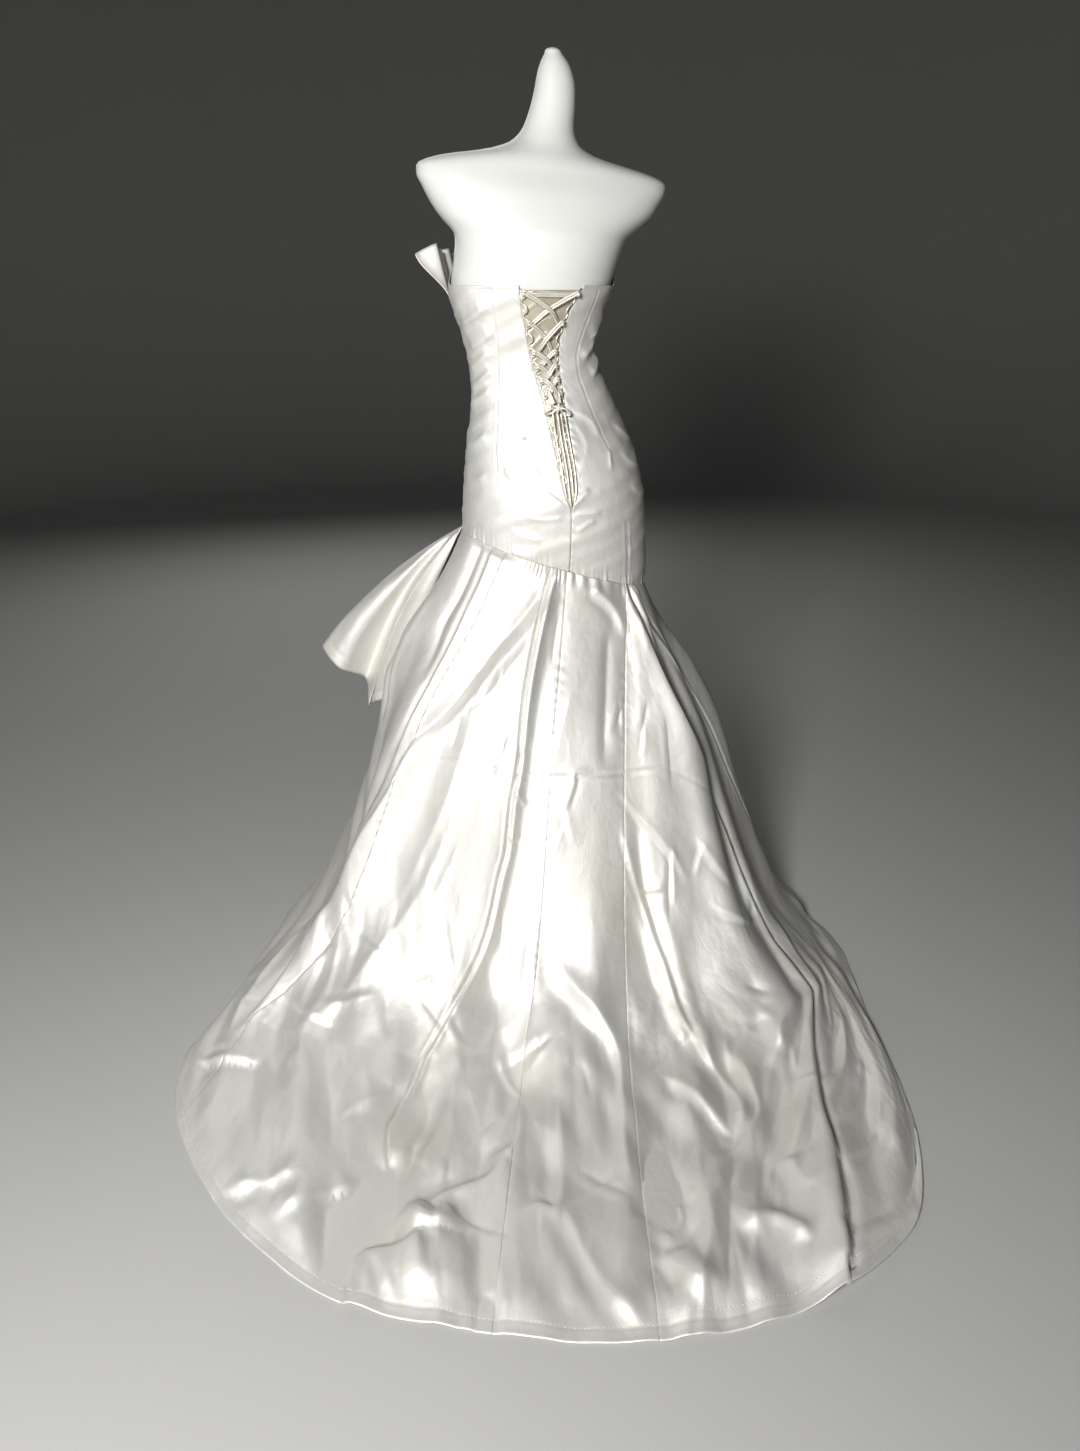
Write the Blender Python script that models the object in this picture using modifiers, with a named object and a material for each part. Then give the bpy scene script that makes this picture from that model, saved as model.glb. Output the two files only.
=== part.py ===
"""A strapless trumpet gown with a laced back and a train, worn by a limbless dress form.

Metres, +Z up. The wearer faces -Y, so the laced back and the train face +Y, and the wearer's left is +X.
The origin is on the floor, at the centre of the stand's base.

Angles run round the body in degrees: 0 is the centre back, 90 the wearer's left, 180 the front, -90 the right.
A place on the cloth is an angle and a share: the share of the way up a bodice panel, or down a skirt gore.
"""

import math

import bmesh
import bpy
import numpy as np
from mathutils import Matrix

# Cloth layers, measured outwards from the dress form
SKIN_GAP = 0.0016
MODESTY_THICKNESS = 0.0010
CLOTH_THICKNESS = 0.0015
SEAM_GAP = 0.0003
MODESTY_LIFT = SKIN_GAP
BODICE_LIFT = MODESTY_LIFT + MODESTY_THICKNESS + SEAM_GAP
OUTER_LIFT = BODICE_LIFT + CLOTH_THICKNESS

# Dress form: horizontal sections from the hip block up to the neck's tip
# height, centre x, centre y, half width, depth behind, depth in front, squareness
FORM_SECTIONS = np.array(
    [
        (0.600, -0.028, 0.000, 0.138, 0.086, 0.084, 2.2),
        (0.660, -0.028, 0.000, 0.153, 0.100, 0.094, 2.2),
        (0.720, -0.028, 0.000, 0.1615, 0.112, 0.100, 2.2),
        (0.790, -0.0255, 0.000, 0.1605, 0.121, 0.103, 2.2),
        (0.850, -0.0240, 0.000, 0.1570, 0.122, 0.105, 2.2),
        (0.900, -0.0215, 0.000, 0.1500, 0.114, 0.105, 2.2),
        (0.950, -0.0155, 0.000, 0.1390, 0.099, 0.103, 2.2),
        (0.990, -0.0095, 0.000, 0.1260, 0.085, 0.099, 2.2),
        (1.030, -0.0015, 0.000, 0.1150, 0.075, 0.092, 2.2),
        (1.060, 0.0070, 0.000, 0.1075, 0.071, 0.086, 2.2),
        (1.095, 0.0155, 0.000, 0.1045, 0.072, 0.086, 2.2),
        (1.125, 0.0185, 0.000, 0.1090, 0.076, 0.093, 2.2),
        (1.160, 0.0195, 0.000, 0.1200, 0.081, 0.106, 2.2),
        (1.200, 0.0150, 0.000, 0.1320, 0.087, 0.113, 2.2),
        (1.240, 0.0060, 0.000, 0.1350, 0.091, 0.106, 2.2),
        (1.270, 0.0000, 0.000, 0.1390, 0.091, 0.097, 2.15),
        (1.290, 0.0000, -0.002, 0.1580, 0.088, 0.089, 2.1),
        (1.310, -0.0030, -0.004, 0.1780, 0.083, 0.080, 2.0),
        (1.332, -0.0040, -0.006, 0.1915, 0.076, 0.071, 2.0),
        (1.350, -0.0050, -0.008, 0.2010, 0.068, 0.063, 2.0),
        (1.362, -0.0060, -0.009, 0.2015, 0.062, 0.058, 2.0),
        (1.373, -0.0050, -0.010, 0.1820, 0.058, 0.054, 2.0),
        (1.382, -0.0020, -0.011, 0.1450, 0.054, 0.050, 2.0),
        (1.389, -0.0040, -0.012, 0.1060, 0.050, 0.046, 2.0),
        (1.397, -0.0070, -0.013, 0.0760, 0.045, 0.041, 2.0),
        (1.408, -0.0110, -0.014, 0.0540, 0.040, 0.037, 2.0),
        (1.430, -0.0165, -0.016, 0.0405, 0.034, 0.033, 2.0),
        (1.464, -0.0240, -0.019, 0.0350, 0.030, 0.030, 2.0),
        (1.491, -0.0270, -0.021, 0.0315, 0.027, 0.027, 2.0),
        (1.516, -0.0260, -0.022, 0.0240, 0.021, 0.021, 2.0),
        (1.532, -0.0235, -0.022, 0.0135, 0.0125, 0.0125, 2.0),
    ]
)
FORM_BOTTOM = 0.600
NECK_TIP = (-0.0220, -0.022, 1.5395)
# The shoulder line drops towards the wearer's right
SHOULDER_TILT = 0.065
TILT_START = 1.200
TILT_END = 1.330
# One soft rise on each side of the chest, which the cups cover
CUP_RISE = 0.020
CUP_ANGLE = 37.0
CUP_SPREAD = 24.0
CUP_HEIGHT = 1.178
CUP_TALL = 0.048
# The shell's own chest is flatter than the gown's cups
SHELL_CUP = 0.5
FORM_COLUMNS = 28
FORM_ROW_HEIGHT = 0.029

# Stand
BASE_RADIUS = 0.140
BASE_THICKNESS = 0.012
BASE_BEVEL = 0.003
POLE_RADIUS = 0.0125

# Bodice: the slanting hip seam is a plane, lower at the wearer's right
HIP_SEAM_HEIGHT = 0.7555
HIP_SEAM_SLOPE = 0.316
# angle, height of the bodice's top edge
TOP_EDGE = np.array(
    [
        (-180.0, 1.232),
        (-165.0, 1.242),
        (-143.0, 1.262),
        (-118.0, 1.246),
        (-96.0, 1.216),
        (-75.0, 1.200),
        (75.0, 1.200),
        (96.0, 1.207),
        (118.0, 1.236),
        (143.0, 1.262),
        (165.0, 1.242),
        (180.0, 1.232),
    ]
)
# The back opening: height, angle of its middle, half its width in degrees
BACK_OPENING = np.array(
    [
        (0.700, -1.2, 0.0),
        (0.845, -3.5, 0.0),
        (0.880, -3.5, 3.0),
        (0.950, -3.5, 5.0),
        (1.015, -4.0, 7.0),
        (1.038, -4.8, 8.2),
        (1.116, -7.0, 12.5),
        (1.200, -10.0, 21.0),
    ]
)
SIDE_SEAM_LEFT = 92.0
SIDE_SEAM_RIGHT = -84.0
FRONT_SEAM = 150.0
BODICE_ROWS = 15
BODICE_COLUMN_DEGREES = 9.0

# Panel behind the lacing: shares of the bodice's height
MODESTY_FIRST_SHARE = 0.13
MODESTY_LAST_SHARE = 0.985

# Back lacing
LOOP_COUNT = 14
LOOP_FIRST_HEIGHT = 1.188
LOOP_LAST_HEIGHT = 0.900
LOOP_WIDTH = 0.0150
LOOP_REACH = 0.0070
LOOP_TUBE_RADIUS = 0.0012
LOOP_POINTS = 6
LOOP_EDGE_LIFT = BODICE_LIFT + 0.0020
LOOP_TIP_LIFT = BODICE_LIFT + 0.0064
LOOP_FLAT_LIFT = LOOP_EDGE_LIFT + 0.0004
CORD_RADIUS = 0.0017
CROSSING_RISE = 0.0018
# The cord's turns round a loop's tip, in degrees from straight across
WRAP_TURNS = (-120.0, -60.0, 0.0, 60.0, 120.0)
WRAP_PITCH = 0.0015
# Where the two strands enter the knot: shares across the opening
STRAND_ENDS = {1: 0.35, -1: 0.65}
# The loops that the cord goes through, counted from the top
LACED_LOOPS = [0, 2, 4, 5, 6, 7]
# The level stretch at the top, between the first loops: points in each half, gap to the other strand's start
BAR_POINTS = 4
BAR_END_GAP = 0.0012
KNOT_HEIGHT = 1.008
KNOT_SIZE = (0.0115, 0.0055, 0.0075)
KNOT_LIFT = LOOP_TIP_LIFT + LOOP_TUBE_RADIUS + KNOT_SIZE[1] + SEAM_GAP
# Gaps between the knot and the cut ends that meet it; the slant of a cord brings its rim closer
STRAND_END_GAP = 0.0012
TAIL_START_GAP = 0.0006
TAIL_RADIUS = 0.0015
# Hanging tails: share across the opening at the top and at the end (0 is the left edge), height of the end
TAILS = {
    "a": (0.22, 0.05, 0.872),
    "b": (0.42, 0.38, 0.858),
    "c": (0.58, 0.70, 0.880),
    "d": (0.78, 1.02, 0.866),
}
TAIL_POINTS = 14
TAIL_LIFT = LOOP_FLAT_LIFT + LOOP_TUBE_RADIUS + TAIL_RADIUS + 2 * SEAM_GAP
# The share of its length in which a tail comes down from the knot to lie on the loops
TAIL_SETTLE = 0.3

# Skirt on the floor, seen from the body: direction, distance of the hem
HEM_OUTLINE = np.array(
    [
        (-180.0, 0.400),
        (-140.0, 0.415),
        (-105.0, 0.465),
        (-82.0, 0.540),
        (-68.0, 0.605),
        (-57.0, 0.650),
        (-49.0, 0.700),
        (-40.0, 0.795),
        (-32.0, 0.893),
        (-24.0, 0.970),
        (-12.0, 1.003),
        (0.0, 0.996),
        (11.0, 0.977),
        (22.0, 0.968),
        (32.0, 0.930),
        (42.0, 0.880),
        (52.0, 0.822),
        (60.0, 0.752),
        (68.0, 0.640),
        (85.0, 0.540),
        (110.0, 0.460),
        (140.0, 0.415),
        (180.0, 0.400),
    ]
)
# Where the falling cloth meets the floor: direction, distance
LANDING_OUTLINE = np.array(
    [
        (-180.0, 0.400),
        (-140.0, 0.415),
        (-105.0, 0.465),
        (-82.0, 0.540),
        (-66.0, 0.540),
        (-52.0, 0.585),
        (-40.0, 0.580),
        (-25.0, 0.550),
        (-9.0, 0.510),
        (11.0, 0.505),
        (28.0, 0.550),
        (45.0, 0.600),
        (58.0, 0.640),
        (68.0, 0.605),
        (85.0, 0.540),
        (110.0, 0.460),
        (140.0, 0.415),
        (180.0, 0.400),
    ]
)
# Threads from the hip seam to the hem: direction where one lands, angle at the seam, direction at the hem
THREADS = np.array(
    [
        (-180.0, -180.0, -180.0),
        (-140.0, -148.0, -140.0),
        (-105.0, -116.0, -105.0),
        (-82.0, -92.0, -82.0),
        (-68.0, -77.0, -64.0),
        (-56.0, -64.0, -45.0),
        (-48.0, -54.0, -28.0),
        (-41.0, -48.0, -17.0),
        (-25.0, -44.0, -8.0),
        (-9.0, -40.0, -1.0),
        (0.0, -20.0, 5.0),
        (10.5, -1.2, 11.0),
        (20.0, 5.0, 16.0),
        (28.0, 9.0, 21.0),
        (45.0, 20.0, 36.0),
        (57.0, 34.0, 50.0),
        (68.0, 58.0, 63.0),
        (85.0, 88.0, 85.0),
        (110.0, 116.0, 110.0),
        (140.0, 147.0, 140.0),
        (180.0, 180.0, 180.0),
    ]
)
# The fall of the cloth: share of the drop, share of the way out
SKIRT_FALL = np.array(
    [(0.0, 0.0), (0.12, 0.10), (0.35, 0.335), (0.58, 0.50), (0.72, 0.60), (0.88, 0.775), (1.0, 1.0)]
)
FLOOR_CLEARANCE = 0.0004
# The bend where the cloth comes to lie on the floor, full where it runs on this far
FLOOR_BLEND = 0.075
FULL_BLEND_RUN = 0.15
SINK_RATE = 0.9
# Folds flatten out below this height
LYING_HEIGHT = 0.10
LYING_FOLD_LOSS = 0.3
FALL_SAMPLES = 60
RUN_SAMPLES = 30
# The share below the hip seam in which the wall's edge turns level
LEVEL_SHARE = 0.06
SKIRT_ROWS = 20
BACK_COLUMN_DEGREES = 4.8
FRONT_COLUMN_DEGREES = 7.0
GORE_SEAMS = {
    "centre_back": 10.5,
    "back_right": -9.0,
    "side_right": -82.0,
    "front_right": -145.0,
    "front_left": 145.0,
    "side_left": 90.0,
    "back_left": 57.0,
}
# Largest folds: thread at the seam, thread half way, thread at the hem, start, end, height, half width in degrees
SKIRT_FOLDS = np.array(
    [
        (26.0, 27.0, 27.0, 0.02, 0.95, -0.024, 5.0),
        (36.0, 38.0, 38.0, 0.10, 0.90, 0.014, 7.0),
        (50.0, 52.0, 52.0, 0.00, 0.60, -0.010, 5.0),
        (63.0, 62.0, 60.0, 0.10, 0.90, 0.012, 6.0),
        (75.0, 75.0, 75.0, 0.15, 1.00, -0.018, 6.0),
        (82.0, 82.0, 82.0, 0.00, 0.45, 0.028, 8.0),
        (92.0, 92.0, 92.0, 0.45, 1.00, 0.010, 8.0),
        (112.0, 112.0, 112.0, 0.20, 1.00, -0.022, 8.0),
        (132.0, 132.0, 132.0, 0.25, 1.00, 0.020, 9.0),
        (153.0, 153.0, 153.0, 0.25, 1.00, -0.018, 9.0),
        (176.0, 176.0, 176.0, 0.25, 1.00, 0.018, 10.0),
        (-157.0, -157.0, -157.0, 0.25, 1.00, -0.020, 9.0),
        (-135.0, -135.0, -135.0, 0.25, 1.00, 0.020, 9.0),
        (-113.0, -113.0, -113.0, 0.20, 1.00, -0.020, 8.0),
        (-80.0, -78.0, -76.0, 0.02, 0.95, 0.026, 11.0),
        (-78.0, -78.0, -78.0, 0.00, 0.45, 0.012, 12.0),
        (-50.0, -50.0, -50.0, 0.02, 0.70, -0.022, 4.0),
        (-40.0, -40.0, -40.0, 0.02, 1.00, 0.018, 5.0),
        (-16.0, -16.0, -16.0, 0.20, 0.85, -0.010, 5.0),
        (1.0, 1.0, 1.0, 0.30, 0.90, 0.010, 6.0),
    ]
)

# The least share of the length in which a fold rises, and the share in which it fades
FOLD_RISE = 0.25
FOLD_FADE = 0.35

# Folded flounce at the wearer's left hip
# share along it, angle at the seam, direction of its hem, distance of the hem, height of the hem
FLOUNCE_HEM = np.array(
    [
        (0.00, 92.0, 91.0, 0.311, 0.462),
        (0.10, 95.0, 95.0, 0.326, 0.458),
        (0.20, 99.0, 102.0, 0.340, 0.500),
        (0.31, 103.0, 97.0, 0.378, 0.530),
        (0.42, 107.0, 101.0, 0.412, 0.562),
        (0.53, 113.0, 113.0, 0.378, 0.535),
        (0.64, 121.0, 116.0, 0.345, 0.500),
        (0.76, 131.0, 130.0, 0.352, 0.520),
        (0.88, 144.0, 142.0, 0.300, 0.545),
        (1.00, 158.0, 156.0, 0.225, 0.630),
    ]
)
FLOUNCE_COLUMNS = 28
FLOUNCE_ROWS = 8
FLOUNCE_BULGE = 0.031
# Under 1, the flounce stands out most near its seam
FLOUNCE_SWELL = 0.85
FLOUNCE_SEAM_DROP = 0.0008
FLOUNCE_ROOT_GAP = 0.0010

# Pleated fan sewn on along the wearer's left bust
FAN_START = 97.0
FAN_END = 150.0
FAN_ROOT_BELOW_TOP = 0.024
FAN_HIGHEST_ROOT = 1.188
FAN_HEIGHT = 0.070
FAN_LEAN = 0.036
# Under 1, the fan swells out low down
FAN_SWELL = 0.85
FAN_LOWER_ENDS = 0.15
# The bodice's flat facets lie inside its curve, so the fan's root follows them in
FAN_ROOT_SINK = 0.0003
FAN_PLEATS = 4
FAN_PLEAT_DEPTH = 0.014
FAN_COLUMNS = 30
FAN_ROWS = 5

IVORY_SATIN = (0.86, 0.84, 0.78)
CREAM_LINING = (0.84, 0.80, 0.68)
WHITE_GLOSS = (0.86, 0.87, 0.84)
STAND_STEEL = (0.55, 0.55, 0.56)


def smooth_table(table, places, column=1):
    """Values of one column of a table at these places, along a curve that never overshoots its rows."""
    at, value = table[:, 0], table[:, column]
    step = np.diff(at)
    slope = np.diff(value) / step
    middle = np.where(
        slope[:-1] * slope[1:] > 0,
        2 * slope[:-1] * slope[1:] / np.where(slope[:-1] + slope[1:] == 0, 1, slope[:-1] + slope[1:]),
        0.0,
    )
    tangent = np.concatenate([slope[:1], middle, slope[-1:]])
    places = np.clip(places, at[0], at[-1])
    row = np.clip(np.searchsorted(at, places, side="right") - 1, 0, len(at) - 2)
    width = step[row]
    s = (places - at[row]) / width
    start = (2 * s**3 - 3 * s**2 + 1) * value[row] + (s**3 - 2 * s**2 + s) * width * tangent[row]
    end = (3 * s**2 - 2 * s**3) * value[row + 1] + (s**3 - s**2) * width * tangent[row + 1]
    return start + end


def ease(share):
    """A smooth step from 0 to 1."""
    share = np.clip(share, 0.0, 1.0)
    return share * share * (3 - 2 * share)


def normalised(vectors):
    return vectors / np.linalg.norm(vectors, axis=-1, keepdims=True)


def surface_normals(surface, u, v, du, dv):
    """Outward normals of surface(u, v), from its neighbouring points. A negative dv suits a v that runs down."""
    across = surface(u + du, v) - surface(u - du, v)
    along = surface(u, v + dv) - surface(u, v - dv)
    return normalised(np.cross(along, across))


def form_surface(angle, height, cup_share=1.0):
    """The surface that the gown is cut for. Its sections tilt with the shoulders above the chest."""
    angle, height = np.broadcast_arrays(np.asarray(angle, float), np.asarray(height, float))
    centre_x, centre_y, wide, behind, ahead, square = (
        smooth_table(FORM_SECTIONS, height, column) for column in range(1, 7)
    )
    sine, cosine = np.sin(np.radians(angle)), np.cos(np.radians(angle))
    reach = np.where(cosine > 0, behind, ahead)
    from_front = np.abs(np.abs((angle + 180.0) % 360.0 - 180.0) - 180.0)
    cup = np.exp(-(((from_front - CUP_ANGLE) / CUP_SPREAD) ** 2) - ((height - CUP_HEIGHT) / CUP_TALL) ** 2)
    x = wide * np.sign(sine) * np.abs(sine) ** (2 / square)
    y = reach * np.sign(cosine) * np.abs(cosine) ** (2 / square)
    x = x + CUP_RISE * cup_share * 0.5 * cup * sine
    y = y + CUP_RISE * cup_share * cup * cosine
    tilt = SHOULDER_TILT * ease((height - TILT_START) / (TILT_END - TILT_START))
    tilt = tilt * np.clip((NECK_TIP[2] - height) / (NECK_TIP[2] - 1.40), 0.0, 1.0)
    return np.stack([centre_x + x, centre_y + y, height + tilt * x], axis=-1)


def lifted_form(angle, height, lift):
    """A point this far outside the dress form's skin."""
    angle, height = np.broadcast_arrays(np.asarray(angle, float), np.asarray(height, float))
    normals = surface_normals(form_surface, angle, height, 1.5, 0.004)
    return form_surface(angle, height) + normals * np.asarray(lift)[..., None]


def hip_seam_height(angle):
    """Height of the slanting hip seam at this angle."""
    height = np.full(np.shape(angle), HIP_SEAM_HEIGHT)
    for _ in range(6):
        height = HIP_SEAM_HEIGHT + HIP_SEAM_SLOPE * form_surface(angle, height)[..., 0]
    return height


def top_edge_height(angle):
    return smooth_table(TOP_EDGE, (np.asarray(angle, float) + 180.0) % 360.0 - 180.0)


def bodice_height(angle, share):
    """Height of a bodice point: share 0 is the hip seam and 1 the top edge."""
    bottom = hip_seam_height(angle) + SEAM_GAP / 2
    return bottom + share * (top_edge_height(angle) - bottom)


def on_floor(direction, distance):
    """Floor points in this direction from the body."""
    turn = np.radians(direction)
    return np.stack([np.sin(turn) * distance, np.cos(turn) * distance], axis=-1)


def skirt_threads(thread):
    """The path of each skirt thread from the hip seam to the hem, as dense points (thread, sample, 3)."""
    thread = (np.atleast_1d(thread) + 180.0) % 360.0 - 180.0
    angle = smooth_table(THREADS, thread, 1)
    direction = smooth_table(THREADS, thread, 2)
    seam = lifted_form(angle, hip_seam_height(angle) - SEAM_GAP / 2, BODICE_LIFT)
    landing = on_floor(thread, smooth_table(LANDING_OUTLINE, thread))
    end = on_floor(direction, smooth_table(HEM_OUTLINE, direction))
    run_length = np.linalg.norm(end - landing, axis=-1)[:, None]
    drop = np.linspace(0.0, 1.0, FALL_SAMPLES)
    out = smooth_table(SKIRT_FALL, drop)
    fall_xy = seam[:, None, :2] + (landing - seam[:, :2])[:, None, :] * out[None, :, None]
    fall_z = seam[:, 2:3] * (1 - drop)[None, :]
    run = np.linspace(0.0, 1.0, RUN_SAMPLES + 1)[1:]
    run_xy = landing[:, None, :] + (end - landing)[:, None, :] * run[None, :, None]
    run_z = -SINK_RATE * run_length * run[None, :]
    path_z = np.concatenate([fall_z, run_z], axis=1)
    blend = FLOOR_BLEND * ease(run_length / FULL_BLEND_RUN)
    path_z = (path_z + np.sqrt(path_z**2 + blend**2)) / 2
    path_z = path_z - path_z[:, -1:] * ease(np.linspace(0, 1, path_z.shape[1]) * 2 - 1)
    path_xy = np.concatenate([fall_xy, run_xy], axis=1)
    return np.concatenate([path_xy, path_z[..., None] + FLOOR_CLEARANCE], axis=-1)


def skirt_base(thread, share):
    """The skirt without folds: share 0 is the hip seam and 1 the hem, measured along the cloth."""
    thread, share = np.broadcast_arrays(np.asarray(thread, float), np.asarray(share, float))
    flat_share = np.clip(share.ravel(), 0.0, 1.0)
    paths = skirt_threads(thread.ravel())
    length = np.concatenate(
        [np.zeros((len(paths), 1)), np.cumsum(np.linalg.norm(np.diff(paths, axis=1), axis=-1), axis=1)],
        axis=1,
    )
    points = np.empty((len(paths), 3))
    for row, (path, distance) in enumerate(zip(paths, length)):
        place = flat_share[row] * distance[-1]
        for axis in range(3):
            points[row, axis] = np.interp(place, distance, path[:, axis])
    return points.reshape(thread.shape + (3,))


def fold_height(thread, share):
    """How far the folds push the skirt out (or in, below zero) at this place."""
    total = np.zeros(np.shape(thread))
    for top, middle, hem, start, end, height, width in SKIRT_FOLDS:
        centre = np.where(
            share < 0.5, top + (middle - top) * share * 2, middle + (hem - middle) * (share * 2 - 1)
        )
        away = (thread - centre + 180.0) % 360.0 - 180.0
        rising = ease((share - start) / max(FOLD_RISE, (end - start) / 2))
        fading = 1.0 if end >= 1.0 else 1 - ease((share - end + FOLD_RISE) / FOLD_FADE)
        total = total + height * np.exp(-((away / width) ** 2)) * rising * fading
    return total


def skirt_surface(thread, share):
    """The skirt's inner face, folds included. No point of it is under the floor."""
    thread, share = np.broadcast_arrays(np.asarray(thread, float), np.asarray(share, float))
    base = skirt_base(thread, share)
    outwards = surface_normals(skirt_base, thread, share, 1.5, -0.01)
    height = fold_height(thread, share)
    lying = 1 - ease(base[..., 2] / LYING_HEIGHT)
    height = np.where(height < 0, height * (1 - lying), height * (1 - LYING_FOLD_LOSS * lying))
    points = base + outwards * height[..., None]
    points[..., 2] = np.maximum(points[..., 2], FLOOR_CLEARANCE)
    return points


def seam_plane(points, side):
    """The points moved up or down onto one side of the slanting hip seam: 1 above it, -1 below."""
    moved = points.copy()
    moved[..., 2] = HIP_SEAM_HEIGHT + HIP_SEAM_SLOPE * points[..., 0] + side * SEAM_GAP / 2
    return moved


def new_material(name, colour, roughness, metallic=0.0):
    material = bpy.data.materials.new(name)
    material.use_nodes = True
    shader = material.node_tree.nodes["Principled BSDF"]
    shader.inputs["Base Color"].default_value = (*colour, 1.0)
    shader.inputs["Roughness"].default_value = roughness
    shader.inputs["Metallic"].default_value = metallic
    return material


def place(name, mesh, material, collection):
    """Adds the finished mesh to the collection as one named part."""
    obj = bpy.data.objects.new(name, mesh)
    mesh.materials.append(material)
    collection.objects.link(obj)
    return obj


def mesh_of(name, points, faces):
    mesh = bpy.data.meshes.new(name)
    mesh.from_pydata([tuple(point) for point in points], [], faces)
    mesh.update()
    shape = bmesh.new()
    shape.from_mesh(mesh)
    bmesh.ops.recalc_face_normals(shape, faces=shape.faces)
    shape.to_mesh(mesh)
    shape.free()
    mesh.shade_smooth()
    return mesh


def grid_faces(rows, columns, start=0):
    """Triangles over a grid of rows by columns of points, all split along the same diagonal."""
    corner = [(row * columns + column + start) for row in range(rows - 1) for column in range(columns - 1)]
    lower = [(at, at + 1, at + columns + 1) for at in corner]
    upper = [(at, at + columns + 1, at + columns) for at in corner]
    return lower + upper


def wall(name, inner, outer, material, collection):
    """A closed cloth wall lofted between its inner and its outer grid of points."""
    rows, columns = inner.shape[:2]
    half = rows * columns
    faces = [face[::-1] for face in grid_faces(rows, columns)]
    faces += grid_faces(rows, columns, half)
    rim = list(range(columns))
    rim += [row * columns + columns - 1 for row in range(1, rows)]
    rim += [(rows - 1) * columns + column for column in range(columns - 2, -1, -1)]
    rim += [row * columns for row in range(rows - 2, 0, -1)]
    for here, there in zip(rim, rim[1:] + rim[:1]):
        faces.append((here, there, there + half, here + half))
    points = np.concatenate([inner.reshape(-1, 3), outer.reshape(-1, 3)])
    return place(name, mesh_of(name, points, faces), material, collection)


def turned_rings(name, rings, tip, material, collection):
    """A closed body through rings of points, flat at the bottom and drawn to a tip at the top."""
    rows, columns = rings.shape[:2]
    faces = [tuple(range(columns))[::-1]]
    for row in range(rows - 1):
        for column in range(columns):
            beside = (column + 1) % columns
            faces.append(
                (
                    row * columns + column,
                    row * columns + beside,
                    (row + 1) * columns + beside,
                    (row + 1) * columns + column,
                )
            )
    last = (rows - 1) * columns
    faces += [(last + column, last + (column + 1) % columns, rows * columns) for column in range(columns)]
    points = np.concatenate([rings.reshape(-1, 3), np.array([tip])])
    return place(name, mesh_of(name, points, faces), material, collection)


def tube(name, route, radius, material, collection, resolution=2):
    """A round cord along these points, closed at both ends."""
    curve = bpy.data.curves.new(name, "CURVE")
    curve.dimensions = "3D"
    curve.bevel_depth = radius
    curve.bevel_resolution = resolution
    curve.use_fill_caps = True
    spline = curve.splines.new("POLY")
    spline.points.add(len(route) - 1)
    for point, stop in zip(spline.points, route):
        point.co = (*stop, 1.0)
    curve.materials.append(material)
    obj = bpy.data.objects.new(name, curve)
    collection.objects.link(obj)
    return obj


def add_form(white, steel, collection):
    """The dress form's torso and neck, its pole and its base."""
    heights = np.unique(np.concatenate([FORM_SECTIONS[:, 0], np.arange(0.63, 1.27, FORM_ROW_HEIGHT)]))
    heights = heights[np.concatenate([[True], np.diff(heights) > 0.006])]
    angles = np.arange(FORM_COLUMNS) * 360.0 / FORM_COLUMNS
    rings = form_surface(angles[None, :], heights[:, None], SHELL_CUP)
    turned_rings("form_torso", rings, NECK_TIP, white, collection)

    bpy.ops.mesh.primitive_cylinder_add(vertices=48, radius=BASE_RADIUS, depth=BASE_THICKNESS)
    base = bpy.context.object
    base.name = "form_base"
    base.location = (0.0, 0.0, BASE_THICKNESS / 2)
    base.data.materials.append(white)
    bevel = base.modifiers.new("edge", "BEVEL")
    bevel.width = BASE_BEVEL
    bevel.segments = 2
    move_to(base, collection)

    bottom = BASE_THICKNESS + SEAM_GAP
    top = FORM_BOTTOM - SEAM_GAP
    bpy.ops.mesh.primitive_cylinder_add(vertices=24, radius=POLE_RADIUS, depth=top - bottom)
    pole = bpy.context.object
    pole.name = "form_pole"
    pole.location = (0.0, 0.0, (top + bottom) / 2)
    pole.data.materials.append(steel)
    move_to(pole, collection)


def move_to(obj, collection):
    for other in list(obj.users_collection):
        other.objects.unlink(obj)
    collection.objects.link(obj)


def opening_edge(height, side):
    """Angle of the back opening's edge at this height: side 1 is the wearer's left, -1 the right."""
    return smooth_table(BACK_OPENING, height, 1) + side * smooth_table(BACK_OPENING, height, 2)


def edge_angle(edge, share):
    """Angle of a panel's edge at this share of its height. An edge is a number, or a side of the opening."""
    if isinstance(edge, float):
        return np.full(np.shape(share), edge)
    angle = np.zeros(np.shape(share))
    for _ in range(4):
        angle = opening_edge(bodice_height(angle, share), edge)
    return angle


def bodice_angles(first, last):
    """Angles and shares over a bodice panel between two edges, half a seam's gap inside each."""
    share = np.linspace(0.0, 1.0, BODICE_ROWS)
    start, end = edge_angle(first, share), edge_angle(last, share)
    columns = max(4, int(round(np.max(end - start) / BODICE_COLUMN_DEGREES)) + 1)
    trim = np.degrees(SEAM_GAP / 2 / 0.10)
    across = np.linspace(0.0, 1.0, columns)
    angle = (start + trim)[:, None] + ((end - start) - 2 * trim)[:, None] * across[None, :]
    return angle, np.broadcast_to(share[:, None], angle.shape)


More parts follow.
